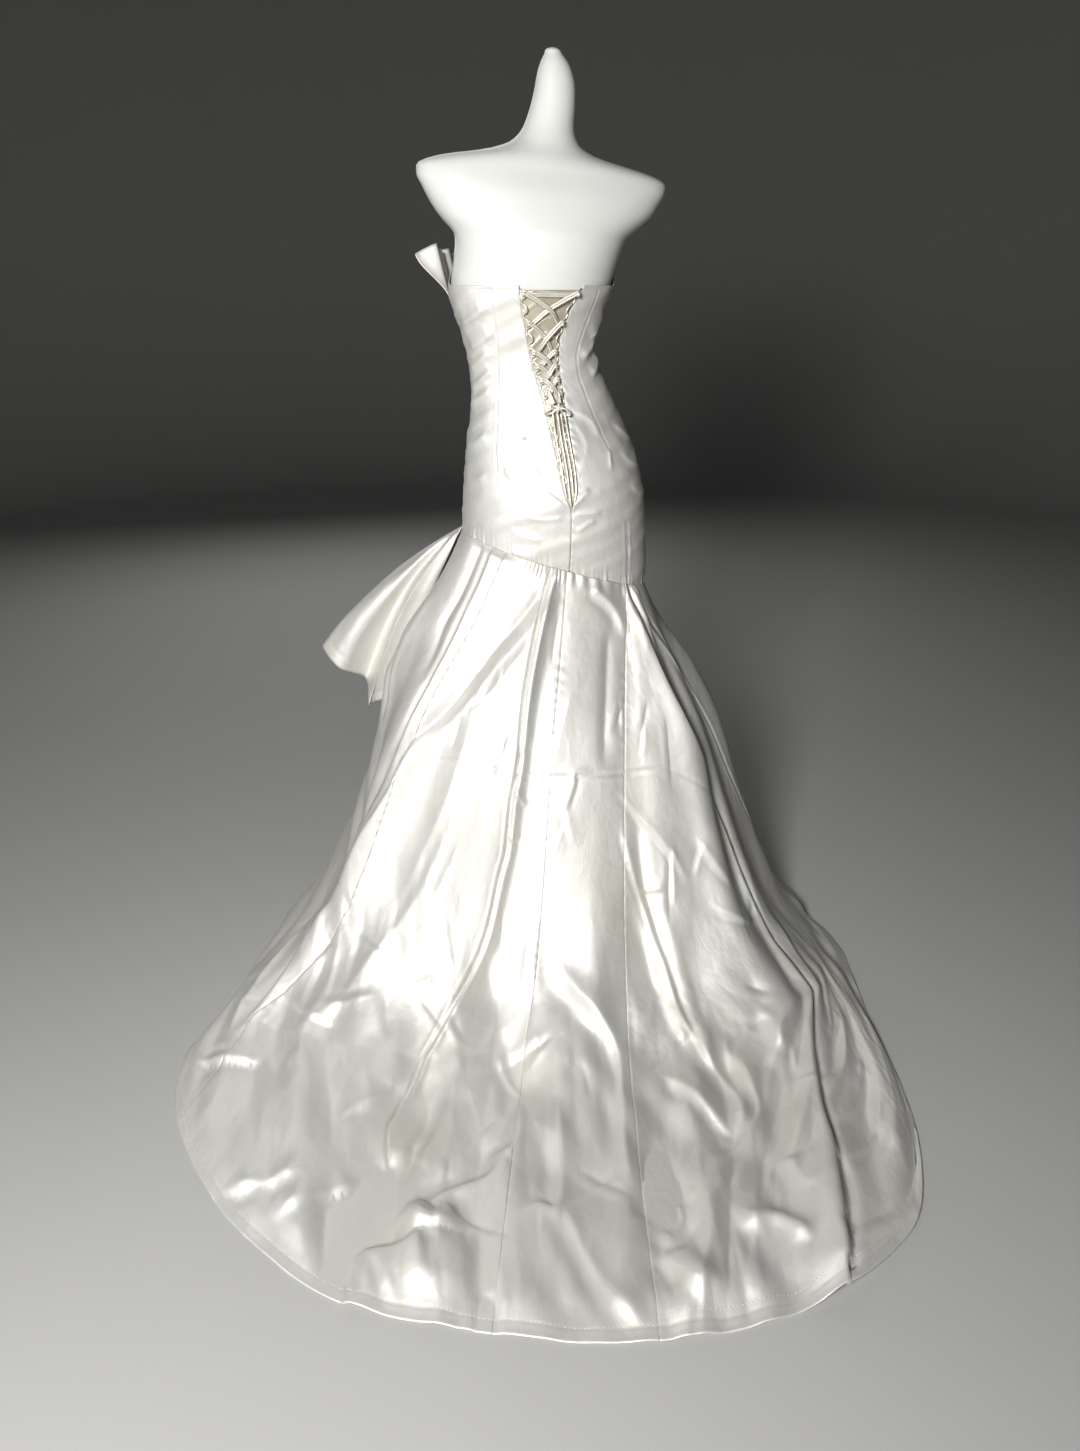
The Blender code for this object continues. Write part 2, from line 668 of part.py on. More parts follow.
def add_bodice(satin, collection):
    panels = {
        "bodice_back_left": (1, SIDE_SEAM_LEFT),
        "bodice_side_front_left": (SIDE_SEAM_LEFT, FRONT_SEAM),
        "bodice_centre_front": (FRONT_SEAM, 360.0 - FRONT_SEAM),
        "bodice_side_front_right": (-FRONT_SEAM, SIDE_SEAM_RIGHT),
        "bodice_back_right": (SIDE_SEAM_RIGHT, -1),
    }
    for name, (first, last) in panels.items():
        angle, share = bodice_angles(first, last)
        inner = lifted_form(angle, bodice_height(angle, share), BODICE_LIFT)
        outer = lifted_form(angle, bodice_height(angle, share), OUTER_LIFT)
        inner[0] = seam_plane(inner[0], 1)
        outer[0] = seam_plane(outer[0], 1)
        wall(name, inner, outer, satin, collection)


def add_modesty_panel(lining, collection):
    """The flat panel behind the lacing. It follows the back panels' own rows and first columns."""
    left, share = bodice_angles(1, SIDE_SEAM_LEFT)
    right, _ = bodice_angles(SIDE_SEAM_RIGHT, -1)
    middle = right[:, -1:] + (left[:, :1] - right[:, -1:]) * np.array([[0.25, 0.5, 0.75]])
    angle = np.concatenate([right[:, -2:], middle, left[:, :2]], axis=1)
    rows = share[:, 0] >= MODESTY_FIRST_SHARE
    angle = angle[rows]
    share = np.broadcast_to(share[rows, :1], angle.shape).copy()
    kept = (MODESTY_LAST_SHARE - share[-2]) / (share[-1] - share[-2])
    angle[-1] = angle[-2] + (angle[-1] - angle[-2]) * kept
    share[-1] = MODESTY_LAST_SHARE
    height = bodice_height(angle, share)
    inner = lifted_form(angle, height, MODESTY_LIFT)
    outer = lifted_form(angle, height, MODESTY_LIFT + MODESTY_THICKNESS)
    wall("modesty_panel", inner, outer, lining, collection)


def beside_edge(height, side, inset, lift):
    """A point in the opening, this far from its edge on one side."""
    edge = opening_edge(height, side)
    at_edge = lifted_form(edge, height, lift)
    beyond = lifted_form(edge - side, height, lift)
    per_degree = np.linalg.norm(beyond - at_edge, axis=-1)
    return lifted_form(edge - side * inset / per_degree, height, lift)


def loop_heights():
    return np.linspace(LOOP_FIRST_HEIGHT, LOOP_LAST_HEIGHT, LOOP_COUNT)


def add_loops(satin, collection):
    """A row of loops along each edge of the opening, one continuous narrow tube on each side."""
    for side, label in ((1, "left"), (-1, "right")):
        route = []
        for height in loop_heights():
            tip_lift = LOOP_TIP_LIFT if height > KNOT_HEIGHT else LOOP_FLAT_LIFT
            for step in range(LOOP_POINTS):
                turn = math.pi * step / (LOOP_POINTS - 1)
                along = height + math.cos(turn) * LOOP_WIDTH / 2
                out = LOOP_TUBE_RADIUS + SEAM_GAP + LOOP_REACH * math.sin(turn)
                lift = LOOP_EDGE_LIFT + (tip_lift - LOOP_EDGE_LIFT) * math.sin(turn)
                route.append(beside_edge(along, side, out, lift))
        tube("lacing_loops_" + label, route, LOOP_TUBE_RADIUS, satin, collection, resolution=1)


def laced_route():
    """The routes of the two crossing strands, each from the top loop of one side down to the knot."""
    wrap = LOOP_TUBE_RADIUS + CORD_RADIUS + 4 * SEAM_GAP
    heights = loop_heights()[LACED_LOOPS]
    reach = LOOP_TUBE_RADIUS + SEAM_GAP + LOOP_REACH

    def through_loop(height, side):
        """Round the tip of a loop: in under it and out over it."""
        points = []
        for order, turn in enumerate(np.radians(WRAP_TURNS)):
            inset = reach - wrap * math.cos(turn)
            lift = LOOP_TIP_LIFT + wrap * math.sin(turn)
            shift = (order / 2 - 1) * WRAP_PITCH
            points.append(beside_edge(height + shift, side, inset, lift))
        return points

    def crossing(height, side, over):
        """The middle of a stretch between two loops, over or under the stretch that crosses it."""
        left = opening_edge(height, 1)
        right = opening_edge(height, -1)
        lift = LOOP_TIP_LIFT + CROSSING_RISE + (CORD_RADIUS + SEAM_GAP) * (1 if over else -1)
        return lifted_form((left + right) / 2, height, lift)

    def level_bar():
        """The stretch from the right-hand strand's start over to the first loop on the left."""
        height = heights[0] - WRAP_PITCH
        lift = LOOP_TIP_LIFT + wrap * math.sin(math.radians(WRAP_TURNS[0]))
        inset = reach - wrap * math.cos(math.radians(WRAP_TURNS[0]))
        half = np.linalg.norm(beside_edge(height, 1, 0.0, lift) - beside_edge(height, -1, 0.0, lift)) / 2
        near = [beside_edge(height, -1, stop, lift) for stop in np.linspace(inset + BAR_END_GAP, half, BAR_POINTS)]
        far = [beside_edge(height, 1, stop, lift) for stop in np.linspace(half, inset, BAR_POINTS)]
        return near[:-1] + far[1:-1]

    strand = []
    for start_side in (1, -1):
        points = level_bar() if start_side == 1 else []
        side = start_side
        for order, height in enumerate(heights):
            points += through_loop(height, side)
            if order < len(heights) - 1:
                middle = (height + heights[order + 1]) / 2
                points.append(crossing(middle, side, start_side == 1))
                side = -side
        end_height = KNOT_HEIGHT + knot_half_height(STRAND_ENDS[side]) + STRAND_END_GAP
        points.append(across_opening(STRAND_ENDS[side], end_height, KNOT_LIFT))
        strand.append(points)
    return strand


def across_opening(share, height, lift):
    """A point in the opening: share 0 is at its left edge and 1 at its right edge."""
    left, right = opening_edge(height, 1), opening_edge(height, -1)
    return lifted_form(left + (right - left) * share, height, lift)


def knot_half_height(share):
    """Half the knot's height over the near side of a cord at this share across the opening."""
    left, right = (across_opening(end, KNOT_HEIGHT, KNOT_LIFT) for end in (0.0, 1.0))
    width = np.linalg.norm(right - left)
    aside = max(0.0, abs(share - 0.5) * width - CORD_RADIUS) / KNOT_SIZE[0]
    return KNOT_SIZE[2] * math.sqrt(1 - aside * aside)


def add_lacing(satin, collection):
    """The laced cord, the knot that ends it and the tails that hang from the knot."""
    for points, label in zip(laced_route(), ("a", "b")):
        tube("lace_cord_" + label, points, CORD_RADIUS, satin, collection)
    bpy.ops.mesh.primitive_uv_sphere_add(segments=14, ring_count=8, radius=1.0)
    knot = bpy.context.object
    knot.name = "lace_knot"
    knot.data.transform(Matrix.Diagonal((*KNOT_SIZE, 1.0)))
    knot.location = across_opening(0.5, KNOT_HEIGHT, KNOT_LIFT)
    knot.data.materials.append(satin)
    move_to(knot, collection)
    for label, (at_top, at_end, end) in TAILS.items():
        start = KNOT_HEIGHT - knot_half_height(at_top) - TAIL_START_GAP
        down = np.linspace(0.0, 1.0, TAIL_POINTS)
        height = start + (end - start) * down
        share = at_top + (at_end - at_top) * down
        lift = TAIL_LIFT + (KNOT_LIFT - TAIL_LIFT) * (1 - ease(down / TAIL_SETTLE))
        tube("lace_tail_" + label, across_opening(share, height, lift), TAIL_RADIUS, satin, collection)


def gore_grid(first, last, column_degrees):
    """Threads and shares over one skirt gore, half a seam's gap inside each edge."""
    share = np.linspace(0.0, 1.0, SKIRT_ROWS)[:, None]
    columns = int(round((last - first) / column_degrees)) + 1
    edges = np.array([[first], [last]])
    per_degree = np.linalg.norm(skirt_base(edges + 0.5, share.T) - skirt_base(edges - 0.5, share.T), axis=-1)
    trim = SEAM_GAP / 2 / per_degree
    start, end = (first + trim[0])[:, None], (last - trim[1])[:, None]
    thread = start + (end - start) * np.linspace(0.0, 1.0, columns)[None, :]
    return np.broadcast_arrays(thread, share)


def skirt_normals(thread, share):
    """Outward normals of the folded skirt, level at the hip seam so that its edge meets the bodice's."""
    normals = surface_normals(skirt_surface, thread, share, 0.8, -0.008)
    normals[..., 2] *= ease(share / LEVEL_SHARE)
    return normalised(normals)


def add_skirt(satin, collection):
    seams = GORE_SEAMS
    back, front = BACK_COLUMN_DEGREES, FRONT_COLUMN_DEGREES
    gores = {
        "skirt_back_left": (seams["centre_back"], seams["back_left"], back),
        "skirt_side_back_left": (seams["back_left"], seams["side_left"], back),
        "skirt_side_front_left": (seams["side_left"], seams["front_left"], front),
        "skirt_centre_front": (seams["front_left"], seams["front_right"] + 360.0, front),
        "skirt_side_front_right": (seams["front_right"], seams["side_right"], front),
        "skirt_side_back_right": (seams["side_right"], seams["back_right"], back),
        "skirt_back_right": (seams["back_right"], seams["centre_back"], back),
    }
    for name, (first, last, column_degrees) in gores.items():
        thread, share = gore_grid(first, last, column_degrees)
        inner = skirt_surface(thread, share)
        outer = inner + skirt_normals(thread, share) * CLOTH_THICKNESS
        outer[..., 2] = np.maximum(outer[..., 2], FLOOR_CLEARANCE)
        inner[0] = seam_plane(inner[0], -1)
        outer[0] = seam_plane(outer[0], -1)
        wall(name, inner, outer, satin, collection)


def add_thin_shell(name, grid, material, collection):
    """An open sheet of cloth given its thickness."""
    rows, columns = grid.shape[:2]
    mesh = bpy.data.meshes.new(name)
    mesh.from_pydata([tuple(point) for point in grid.reshape(-1, 3)], [], grid_faces(rows, columns))
    mesh.shade_smooth()
    obj = place(name, mesh, material, collection)
    shell = obj.modifiers.new("thickness", "SOLIDIFY")
    shell.thickness = CLOTH_THICKNESS
    shell.offset = 0.0
    shell.use_even_offset = True
    return obj


def add_flounce(satin, collection):
    """The flounce sewn into the hip seam, flaring out over the skirt in a few deep folds."""
    along = np.linspace(0.0, 1.0, FLOUNCE_COLUMNS)[None, :]
    down = np.linspace(0.0, 1.0, FLOUNCE_ROWS)[:, None]
    seam_angle = smooth_table(FLOUNCE_HEM, along, 1)
    root_lift = OUTER_LIFT + CLOTH_THICKNESS / 2 + FLOUNCE_ROOT_GAP
    root = seam_plane(lifted_form(seam_angle, hip_seam_height(seam_angle), root_lift), -1)
    root[..., 2] -= FLOUNCE_SEAM_DROP
    hem_angle = np.radians(smooth_table(FLOUNCE_HEM, along, 2))
    distance = smooth_table(FLOUNCE_HEM, along, 3)
    hem = np.stack(
        [distance * np.sin(hem_angle), distance * np.cos(hem_angle), smooth_table(FLOUNCE_HEM, along, 4)],
        axis=-1,
    )
    straight = root + (hem - root) * down[..., None]
    outward = normalised((hem - root) * np.array([1.0, 1.0, 0.0]))
    bulge = FLOUNCE_BULGE * np.sin(np.pi * down**FLOUNCE_SWELL)[..., None]
    add_thin_shell("hip_flounce", straight + outward * bulge, satin, collection)


def add_fan(satin, collection):
    """The pleated fan that stands on the top edge."""
    along = np.linspace(0.0, 1.0, FAN_COLUMNS)[None, :]
    up = np.linspace(0.0, 1.0, FAN_ROWS)[:, None]
    angle = FAN_START + (FAN_END - FAN_START) * along
    root_height = np.minimum(top_edge_height(angle) - FAN_ROOT_BELOW_TOP, FAN_HIGHEST_ROOT)
    edge = lifted_form(angle, root_height, OUTER_LIFT + CLOTH_THICKNESS / 2 - FAN_ROOT_SINK)
    outward = surface_normals(form_surface, angle, root_height, 1.5, 0.004)
    outward[..., 2] = 0.0
    outward = normalised(outward)
    pleat = np.cos(2 * np.pi * FAN_PLEATS * along) * FAN_PLEAT_DEPTH * ease(up)
    arch = 1 - FAN_LOWER_ENDS * (1 - np.sin(np.pi * along))
    rise = FAN_HEIGHT * arch * up
    lean = FAN_LEAN * up**FAN_SWELL + pleat + FAN_PLEAT_DEPTH * ease(up)
    grid = edge + outward * lean[..., None] + rise[..., None] * np.array([0.0, 0.0, 1.0])
    add_thin_shell("bust_fan", grid, satin, collection)


def main():
    for obj in list(bpy.data.objects):
        bpy.data.objects.remove(obj)
    gown = bpy.data.collections.new("strapless_gown_on_dress_form")
    bpy.context.scene.collection.children.link(gown)
    satin = new_material("ivory_satin", IVORY_SATIN, 0.35)
    lining = new_material("cream_lining", CREAM_LINING, 0.55)
    white = new_material("white_gloss_shell", WHITE_GLOSS, 0.18)
    steel = new_material("brushed_steel", STAND_STEEL, 0.35, 1.0)
    add_form(white, steel, gown)
    add_bodice(satin, gown)
    add_modesty_panel(lining, gown)
    add_loops(satin, gown)
    add_lacing(satin, gown)
    add_skirt(satin, gown)
    add_flounce(satin, gown)
    add_fan(satin, gown)


main()
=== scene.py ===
"""Render model of a strapless trumpet gown with a laced back and a train, worn by a limbless dress form.

Metres, +Z up. The wearer faces -Y, so the laced back and the train face +Y, and the wearer's left is +X.
Angles run round the body in degrees: 0 is the centre back, 90 the wearer's left, 180 the front and -90 the
right. A place on the skirt is a thread, named by where it lands on the floor, and a share of the way down to
the hem.
"""

import logging
import math
from dataclasses import dataclass, field
from enum import Enum
from functools import partial
from typing import Callable, Sequence

import bmesh
import bpy
import numpy as np
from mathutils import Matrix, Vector


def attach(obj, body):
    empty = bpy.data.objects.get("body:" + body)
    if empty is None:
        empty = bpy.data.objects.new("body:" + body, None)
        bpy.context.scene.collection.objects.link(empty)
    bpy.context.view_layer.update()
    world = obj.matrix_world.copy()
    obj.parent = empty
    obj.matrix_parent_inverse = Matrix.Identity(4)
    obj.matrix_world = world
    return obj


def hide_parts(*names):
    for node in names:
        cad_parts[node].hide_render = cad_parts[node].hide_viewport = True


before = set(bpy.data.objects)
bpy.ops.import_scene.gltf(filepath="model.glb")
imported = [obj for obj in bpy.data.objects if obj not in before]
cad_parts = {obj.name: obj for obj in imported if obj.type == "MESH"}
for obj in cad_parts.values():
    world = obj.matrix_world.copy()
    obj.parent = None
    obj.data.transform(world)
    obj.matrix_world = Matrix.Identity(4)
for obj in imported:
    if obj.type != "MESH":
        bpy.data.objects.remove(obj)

Array = np.ndarray
Place = tuple[float, float]
Colour = tuple[float, float, float, float]
Material = bpy.types.Material
Socket = bpy.types.NodeSocket
LOG = logging.getLogger("gown")
ROOT = "root"

# Cloth layers, measured outwards from the dress form
SKIN_GAP = 0.0016
MODESTY_THICKNESS = 0.0010
CLOTH_THICKNESS = 0.0015
SEAM_GAP = 0.0003
BODICE_LIFT = SKIN_GAP + MODESTY_THICKNESS + SEAM_GAP
OUTER_LIFT = BODICE_LIFT + CLOTH_THICKNESS
FLOOR_CLEARANCE = 0.0004
STITCH_LIFT = 0.0002

# height, centre x, centre y, half width, depth behind, depth in front, squareness
FORM_SECTIONS = np.array([
    (0.600, -0.028, 0.000, 0.138, 0.086, 0.084, 2.2),
    (0.660, -0.028, 0.000, 0.153, 0.100, 0.094, 2.2),
    (0.720, -0.028, 0.000, 0.1615, 0.112, 0.100, 2.2),
    (0.790, -0.0255, 0.000, 0.1605, 0.121, 0.103, 2.2),
    (0.850, -0.0240, 0.000, 0.1570, 0.122, 0.105, 2.2),
    (0.900, -0.0215, 0.000, 0.1500, 0.114, 0.105, 2.2),
    (0.950, -0.0155, 0.000, 0.1390, 0.099, 0.103, 2.2),
    (0.990, -0.0095, 0.000, 0.1260, 0.085, 0.099, 2.2),
    (1.030, -0.0015, 0.000, 0.1150, 0.075, 0.092, 2.2),
    (1.060, 0.0070, 0.000, 0.1075, 0.071, 0.086, 2.2),
    (1.095, 0.0155, 0.000, 0.1045, 0.072, 0.086, 2.2),
    (1.125, 0.0185, 0.000, 0.1090, 0.076, 0.093, 2.2),
    (1.160, 0.0195, 0.000, 0.1200, 0.081, 0.106, 2.2),
    (1.200, 0.0150, 0.000, 0.1320, 0.087, 0.113, 2.2),
    (1.240, 0.0060, 0.000, 0.1350, 0.091, 0.106, 2.2),
    (1.270, 0.0000, 0.000, 0.1390, 0.091, 0.097, 2.15),
    (1.290, 0.0000, -0.002, 0.1580, 0.088, 0.089, 2.1),
    (1.310, -0.0030, -0.004, 0.1780, 0.083, 0.080, 2.0),
    (1.332, -0.0040, -0.006, 0.1915, 0.076, 0.071, 2.0),
    (1.350, -0.0050, -0.008, 0.2010, 0.068, 0.063, 2.0),
    (1.362, -0.0060, -0.009, 0.2015, 0.062, 0.058, 2.0),
    (1.373, -0.0050, -0.010, 0.1820, 0.058, 0.054, 2.0),
    (1.382, -0.0020, -0.011, 0.1450, 0.054, 0.050, 2.0),
    (1.389, -0.0040, -0.012, 0.1060, 0.050, 0.046, 2.0),
    (1.397, -0.0070, -0.013, 0.0760, 0.045, 0.041, 2.0),
    (1.408, -0.0110, -0.014, 0.0540, 0.040, 0.037, 2.0),
    (1.430, -0.0165, -0.016, 0.0405, 0.034, 0.033, 2.0),
    (1.464, -0.0240, -0.019, 0.0350, 0.030, 0.030, 2.0),
    (1.491, -0.0270, -0.021, 0.0315, 0.027, 0.027, 2.0),
    (1.516, -0.0260, -0.022, 0.0240, 0.021, 0.021, 2.0),
    (1.532, -0.0235, -0.022, 0.0135, 0.0125, 0.0125, 2.0),
])
NECK_TIP = (-0.0220, -0.022, 1.5395)

# angle, height of the bodice's top edge
TOP_EDGE = np.array([
    (-180, 1.232), (-165, 1.242), (-143, 1.262), (-118, 1.246), (-96, 1.216), (-75, 1.2), (75, 1.2),
    (96, 1.207), (118, 1.236), (143, 1.262), (165, 1.242), (180, 1.232),
])
# height, angle of the back opening's middle, half its width in degrees
BACK_OPENING = np.array([
    (0.7, -1.2, 0), (0.845, -3.5, 0), (0.88, -3.5, 3), (0.95, -3.5, 5), (1.015, -4, 7), (1.038, -4.8, 8.2),
    (1.116, -7, 12.5), (1.2, -10, 21),
])
# direction seen from the body, distance of the hem
HEM_OUTLINE = np.array([
    (-180, 0.4), (-140, 0.415), (-105, 0.465), (-82, 0.54), (-68, 0.605), (-57, 0.65), (-49, 0.7),
    (-40, 0.795), (-32, 0.893), (-24, 0.97), (-12, 1.003), (0, 0.996), (11, 0.977), (22, 0.968), (32, 0.93),
    (42, 0.88), (52, 0.822), (60, 0.752), (68, 0.64), (85, 0.54), (110, 0.46), (140, 0.415), (180, 0.4),
])
# direction, distance at which the falling cloth meets the floor
LANDING_OUTLINE = np.array([
    (-180, 0.4), (-140, 0.415), (-105, 0.465), (-82, 0.54), (-66, 0.54), (-52, 0.585), (-40, 0.58),
    (-25, 0.55), (-9, 0.51), (11, 0.505), (28, 0.55), (45, 0.6), (58, 0.64), (68, 0.605), (85, 0.54),
    (110, 0.46), (140, 0.415), (180, 0.4),
])
# direction where a thread lands, its angle at the hip seam, its direction at the hem
THREADS = np.array([
    (-180, -180, -180), (-140, -148, -140), (-105, -116, -105), (-82, -92, -82), (-68, -77, -64),
    (-56, -64, -45), (-48, -54, -28), (-41, -48, -17), (-25, -44, -8), (-9, -40, -1), (0, -20, 5),
    (10.5, -1.2, 11), (20, 5, 16), (28, 9, 21), (45, 20, 36), (57, 34, 50), (68, 58, 63), (85, 88, 85),
    (110, 116, 110), (140, 147, 140), (180, 180, 180),
])
# share of the drop, share of the way out
SKIRT_FALL = np.array(
    [(0.0, 0.0), (0.12, 0.10), (0.35, 0.335), (0.58, 0.50), (0.72, 0.60), (0.88, 0.775), (1.0, 1.0)]
)
# thread at the seam, thread half way, thread at the hem, start, end, height, half width in degrees
SKIRT_FOLDS = np.array([
    (14.0, 20.0, 26.0, 0.02, 0.95, -0.015, 5.0),
    (36.0, 38.0, 38.0, 0.10, 0.90, 0.014, 7.0),
    (50.0, 52.0, 52.0, 0.00, 0.60, -0.010, 5.0),
    (63.0, 62.0, 60.0, 0.10, 0.90, 0.012, 6.0),
    (75.0, 75.0, 75.0, 0.15, 1.00, -0.018, 6.0),
    (82.0, 82.0, 82.0, 0.00, 0.45, 0.028, 8.0),
    (92.0, 92.0, 92.0, 0.45, 1.00, 0.010, 8.0),
    (112.0, 112.0, 112.0, 0.20, 1.00, -0.022, 8.0),
    (132.0, 132.0, 132.0, 0.25, 1.00, 0.020, 9.0),
    (153.0, 153.0, 153.0, 0.25, 1.00, -0.018, 9.0),
    (176.0, 176.0, 176.0, 0.25, 1.00, 0.018, 10.0),
    (-157.0, -157.0, -157.0, 0.25, 1.00, -0.020, 9.0),
    (-135.0, -135.0, -135.0, 0.25, 1.00, 0.020, 9.0),
    (-113.0, -113.0, -113.0, 0.20, 1.00, -0.020, 8.0),
    (-80.0, -78.0, -76.0, 0.02, 0.95, 0.026, 11.0),
    (-78.0, -78.0, -78.0, 0.00, 0.45, 0.012, 12.0),
    (-50.0, -50.0, -50.0, 0.02, 0.70, -0.022, 4.0),
    (-40.0, -40.0, -40.0, 0.02, 1.00, 0.018, 5.0),
    (-16.0, -16.0, -16.0, 0.20, 0.85, -0.010, 5.0),
    (1.0, 1.0, 1.0, 0.30, 0.90, 0.010, 6.0),
])
# share along the flounce, angle at the seam, direction of its hem, distance of the hem, height of the hem
FLOUNCE_HEM = np.array([
    (0, 93, 101, 0.285, 0.475), (0.06, 94, 97, 0.305, 0.462), (0.12, 95.5, 95, 0.33, 0.456),
    (0.2, 99, 102, 0.34, 0.5), (0.31, 103, 97, 0.378, 0.53), (0.42, 107, 101, 0.412, 0.562),
    (0.53, 113, 113, 0.378, 0.535), (0.64, 121, 116, 0.345, 0.5), (0.76, 131, 130, 0.352, 0.52),
    (0.88, 144, 142, 0.3, 0.545), (1, 158, 156, 0.225, 0.63),
])


def smooth_table(table: Array, places: Array, column: int = 1) -> Array:
    """Reads one column of a table along a curve that never overshoots its rows.

    Args:
        table: Rows whose first column is the place.
        places: Places to read, held inside the table.
        column: The column to read.

    Returns:
        One value for each place.
    """
    at, value = table[:, 0], table[:, column]
    step = np.diff(at)
    slope = np.diff(value) / step
    total, product = slope[:-1] + slope[1:], slope[:-1] * slope[1:]
    inner = np.where(product > 0, 2 * product / np.where(total == 0, 1, total), 0.0)
    tangent = np.concatenate([slope[:1], inner, slope[-1:]])
    places = np.clip(places, at[0], at[-1])
    row = np.clip(np.searchsorted(at, places, side="right") - 1, 0, len(at) - 2)
    width = step[row]
    s = (places - at[row]) / width
    start = (2 * s**3 - 3 * s**2 + 1) * value[row] + (s**3 - 2 * s**2 + s) * width * tangent[row]
    end = (3 * s**2 - 2 * s**3) * value[row + 1] + (s**3 - s**2) * width * tangent[row + 1]
    return start + end


def ease(share: Array) -> Array:
    """Returns a smooth step from 0 to 1."""
    share = np.clip(share, 0.0, 1.0)
    return share * share * (3 - 2 * share)


def bell(away: Array, width: float) -> Array:
    """Returns 1 in the middle and less farther away, along a bell curve of this width."""
    return np.exp(-((away / width) ** 2))


def normalised(vectors: Array) -> Array:
    """Returns the vectors at length 1."""
    return vectors / np.maximum(np.linalg.norm(vectors, axis=-1, keepdims=True), 1e-12)


def wrapped(angle: Array) -> Array:
    """Returns the angle between -180 and 180 degrees."""
    return (np.asarray(angle, float) + 180.0) % 360.0 - 180.0


def surface_normals(
    surface: Callable[[Array, Array], Array], u: Array, v: Array, du: float, dv: float
) -> Array:
    """Works out outward normals from a surface's neighbouring points.

    Args:
        surface: A function of two places that gives points.
        u: First place, which grows towards the wearer's left.
        v: Second place.
        du: Step in the first place.
        dv: Step in the second place, negative where it runs down.

    Returns:
        Unit normals.
    """
    across = surface(u + du, v) - surface(u - du, v)
    along = surface(u, v + dv) - surface(u, v - dv)
    return normalised(np.cross(along, across))


def cubic_weights(t: Array) -> Array:
    """Returns the four weights of a smooth curve through its points at the share t between two of them."""
    return np.stack(
        [
            -0.5 * t**3 + t**2 - 0.5 * t,
            1.5 * t**3 - 2.5 * t**2 + 1,
            -1.5 * t**3 + 2 * t**2 + 0.5 * t,
            0.5 * t**3 - 0.5 * t**2,
        ],
        axis=-1,
    )


def smooth_path(points: Array, per_stretch: int) -> Array:
    """Draws a smooth curve through points.

    Args:
        points: The points, in any number of dimensions.
        per_stretch: Samples between two points.

    Returns:
        The curve's points.
    """
    points = np.asarray(points, float)
    padded = np.concatenate([2 * points[:1] - points[1:2], points, 2 * points[-1:] - points[-2:-1]])
    weights = cubic_weights(np.arange(per_stretch) / per_stretch)
    stretches = [weights @ padded[at : at + 4] for at in range(len(points) - 1)]
    return np.concatenate(stretches + [points[-1:]])


def arc_lengths(points: Array, axis: int) -> Array:
    """Returns the distance along a grid of points, from its first row or column."""
    steps = np.linalg.norm(np.diff(points, axis=axis), axis=-1)
    start = np.zeros_like(np.take(steps, [0], axis=axis))
    return np.concatenate([start, np.cumsum(steps, axis=axis)], axis=axis)


def soft_noise(rng: np.random.Generator, places: Array, period: float, count: int = 5) -> Array:
    """Makes a smooth uneven wave.

    Args:
        rng: Seeded source of numbers.
        places: Where to read the wave.
        period: Its main length.
        count: Waves that are added.

    Returns:
        Values of about -1 to 1.
    """
    total = np.zeros_like(np.asarray(places, float))
    for _ in range(count):
        stretch = period * rng.uniform(0.55, 1.8)
        total += np.sin(2 * np.pi * places / stretch + rng.uniform(0, 2 * np.pi)) / count**0.5
    return total


def crumpled(across: Array, along: Array, size: float, seed: int, waves: int = 6) -> Array:
    """Makes the relief of crushed cloth: nearly flat facets that meet in slightly bent creases.

    Args:
        across: Places across the cloth in metres.
        along: Places along it in metres.
        size: The usual size of a facet.
        seed: Seed of the pattern.
        waves: Number of folded waves, each in its own direction, that are added.

    Returns:
        Values of about -1 to 1.
    """
    rng = np.random.default_rng(seed)
    bend = 0.22 * size * np.sin(along / (0.55 * size) + 1.7 * np.sin(across / (0.9 * size)))
    total = np.zeros(np.broadcast_shapes(np.shape(across), np.shape(along)))
    for number in range(waves):
        way = np.pi * (number + rng.uniform(0.1, 0.9)) / waves
        length = size * 2.0 * rng.uniform(0.7, 1.5)
        place = (across + bend) * math.cos(way) + (along - 0.7 * bend) * math.sin(way)
        total += np.arcsin(0.985 * np.sin(2 * np.pi * place / length + rng.uniform(0.0, 2 * np.pi)))
    return 1.25 * total / waves


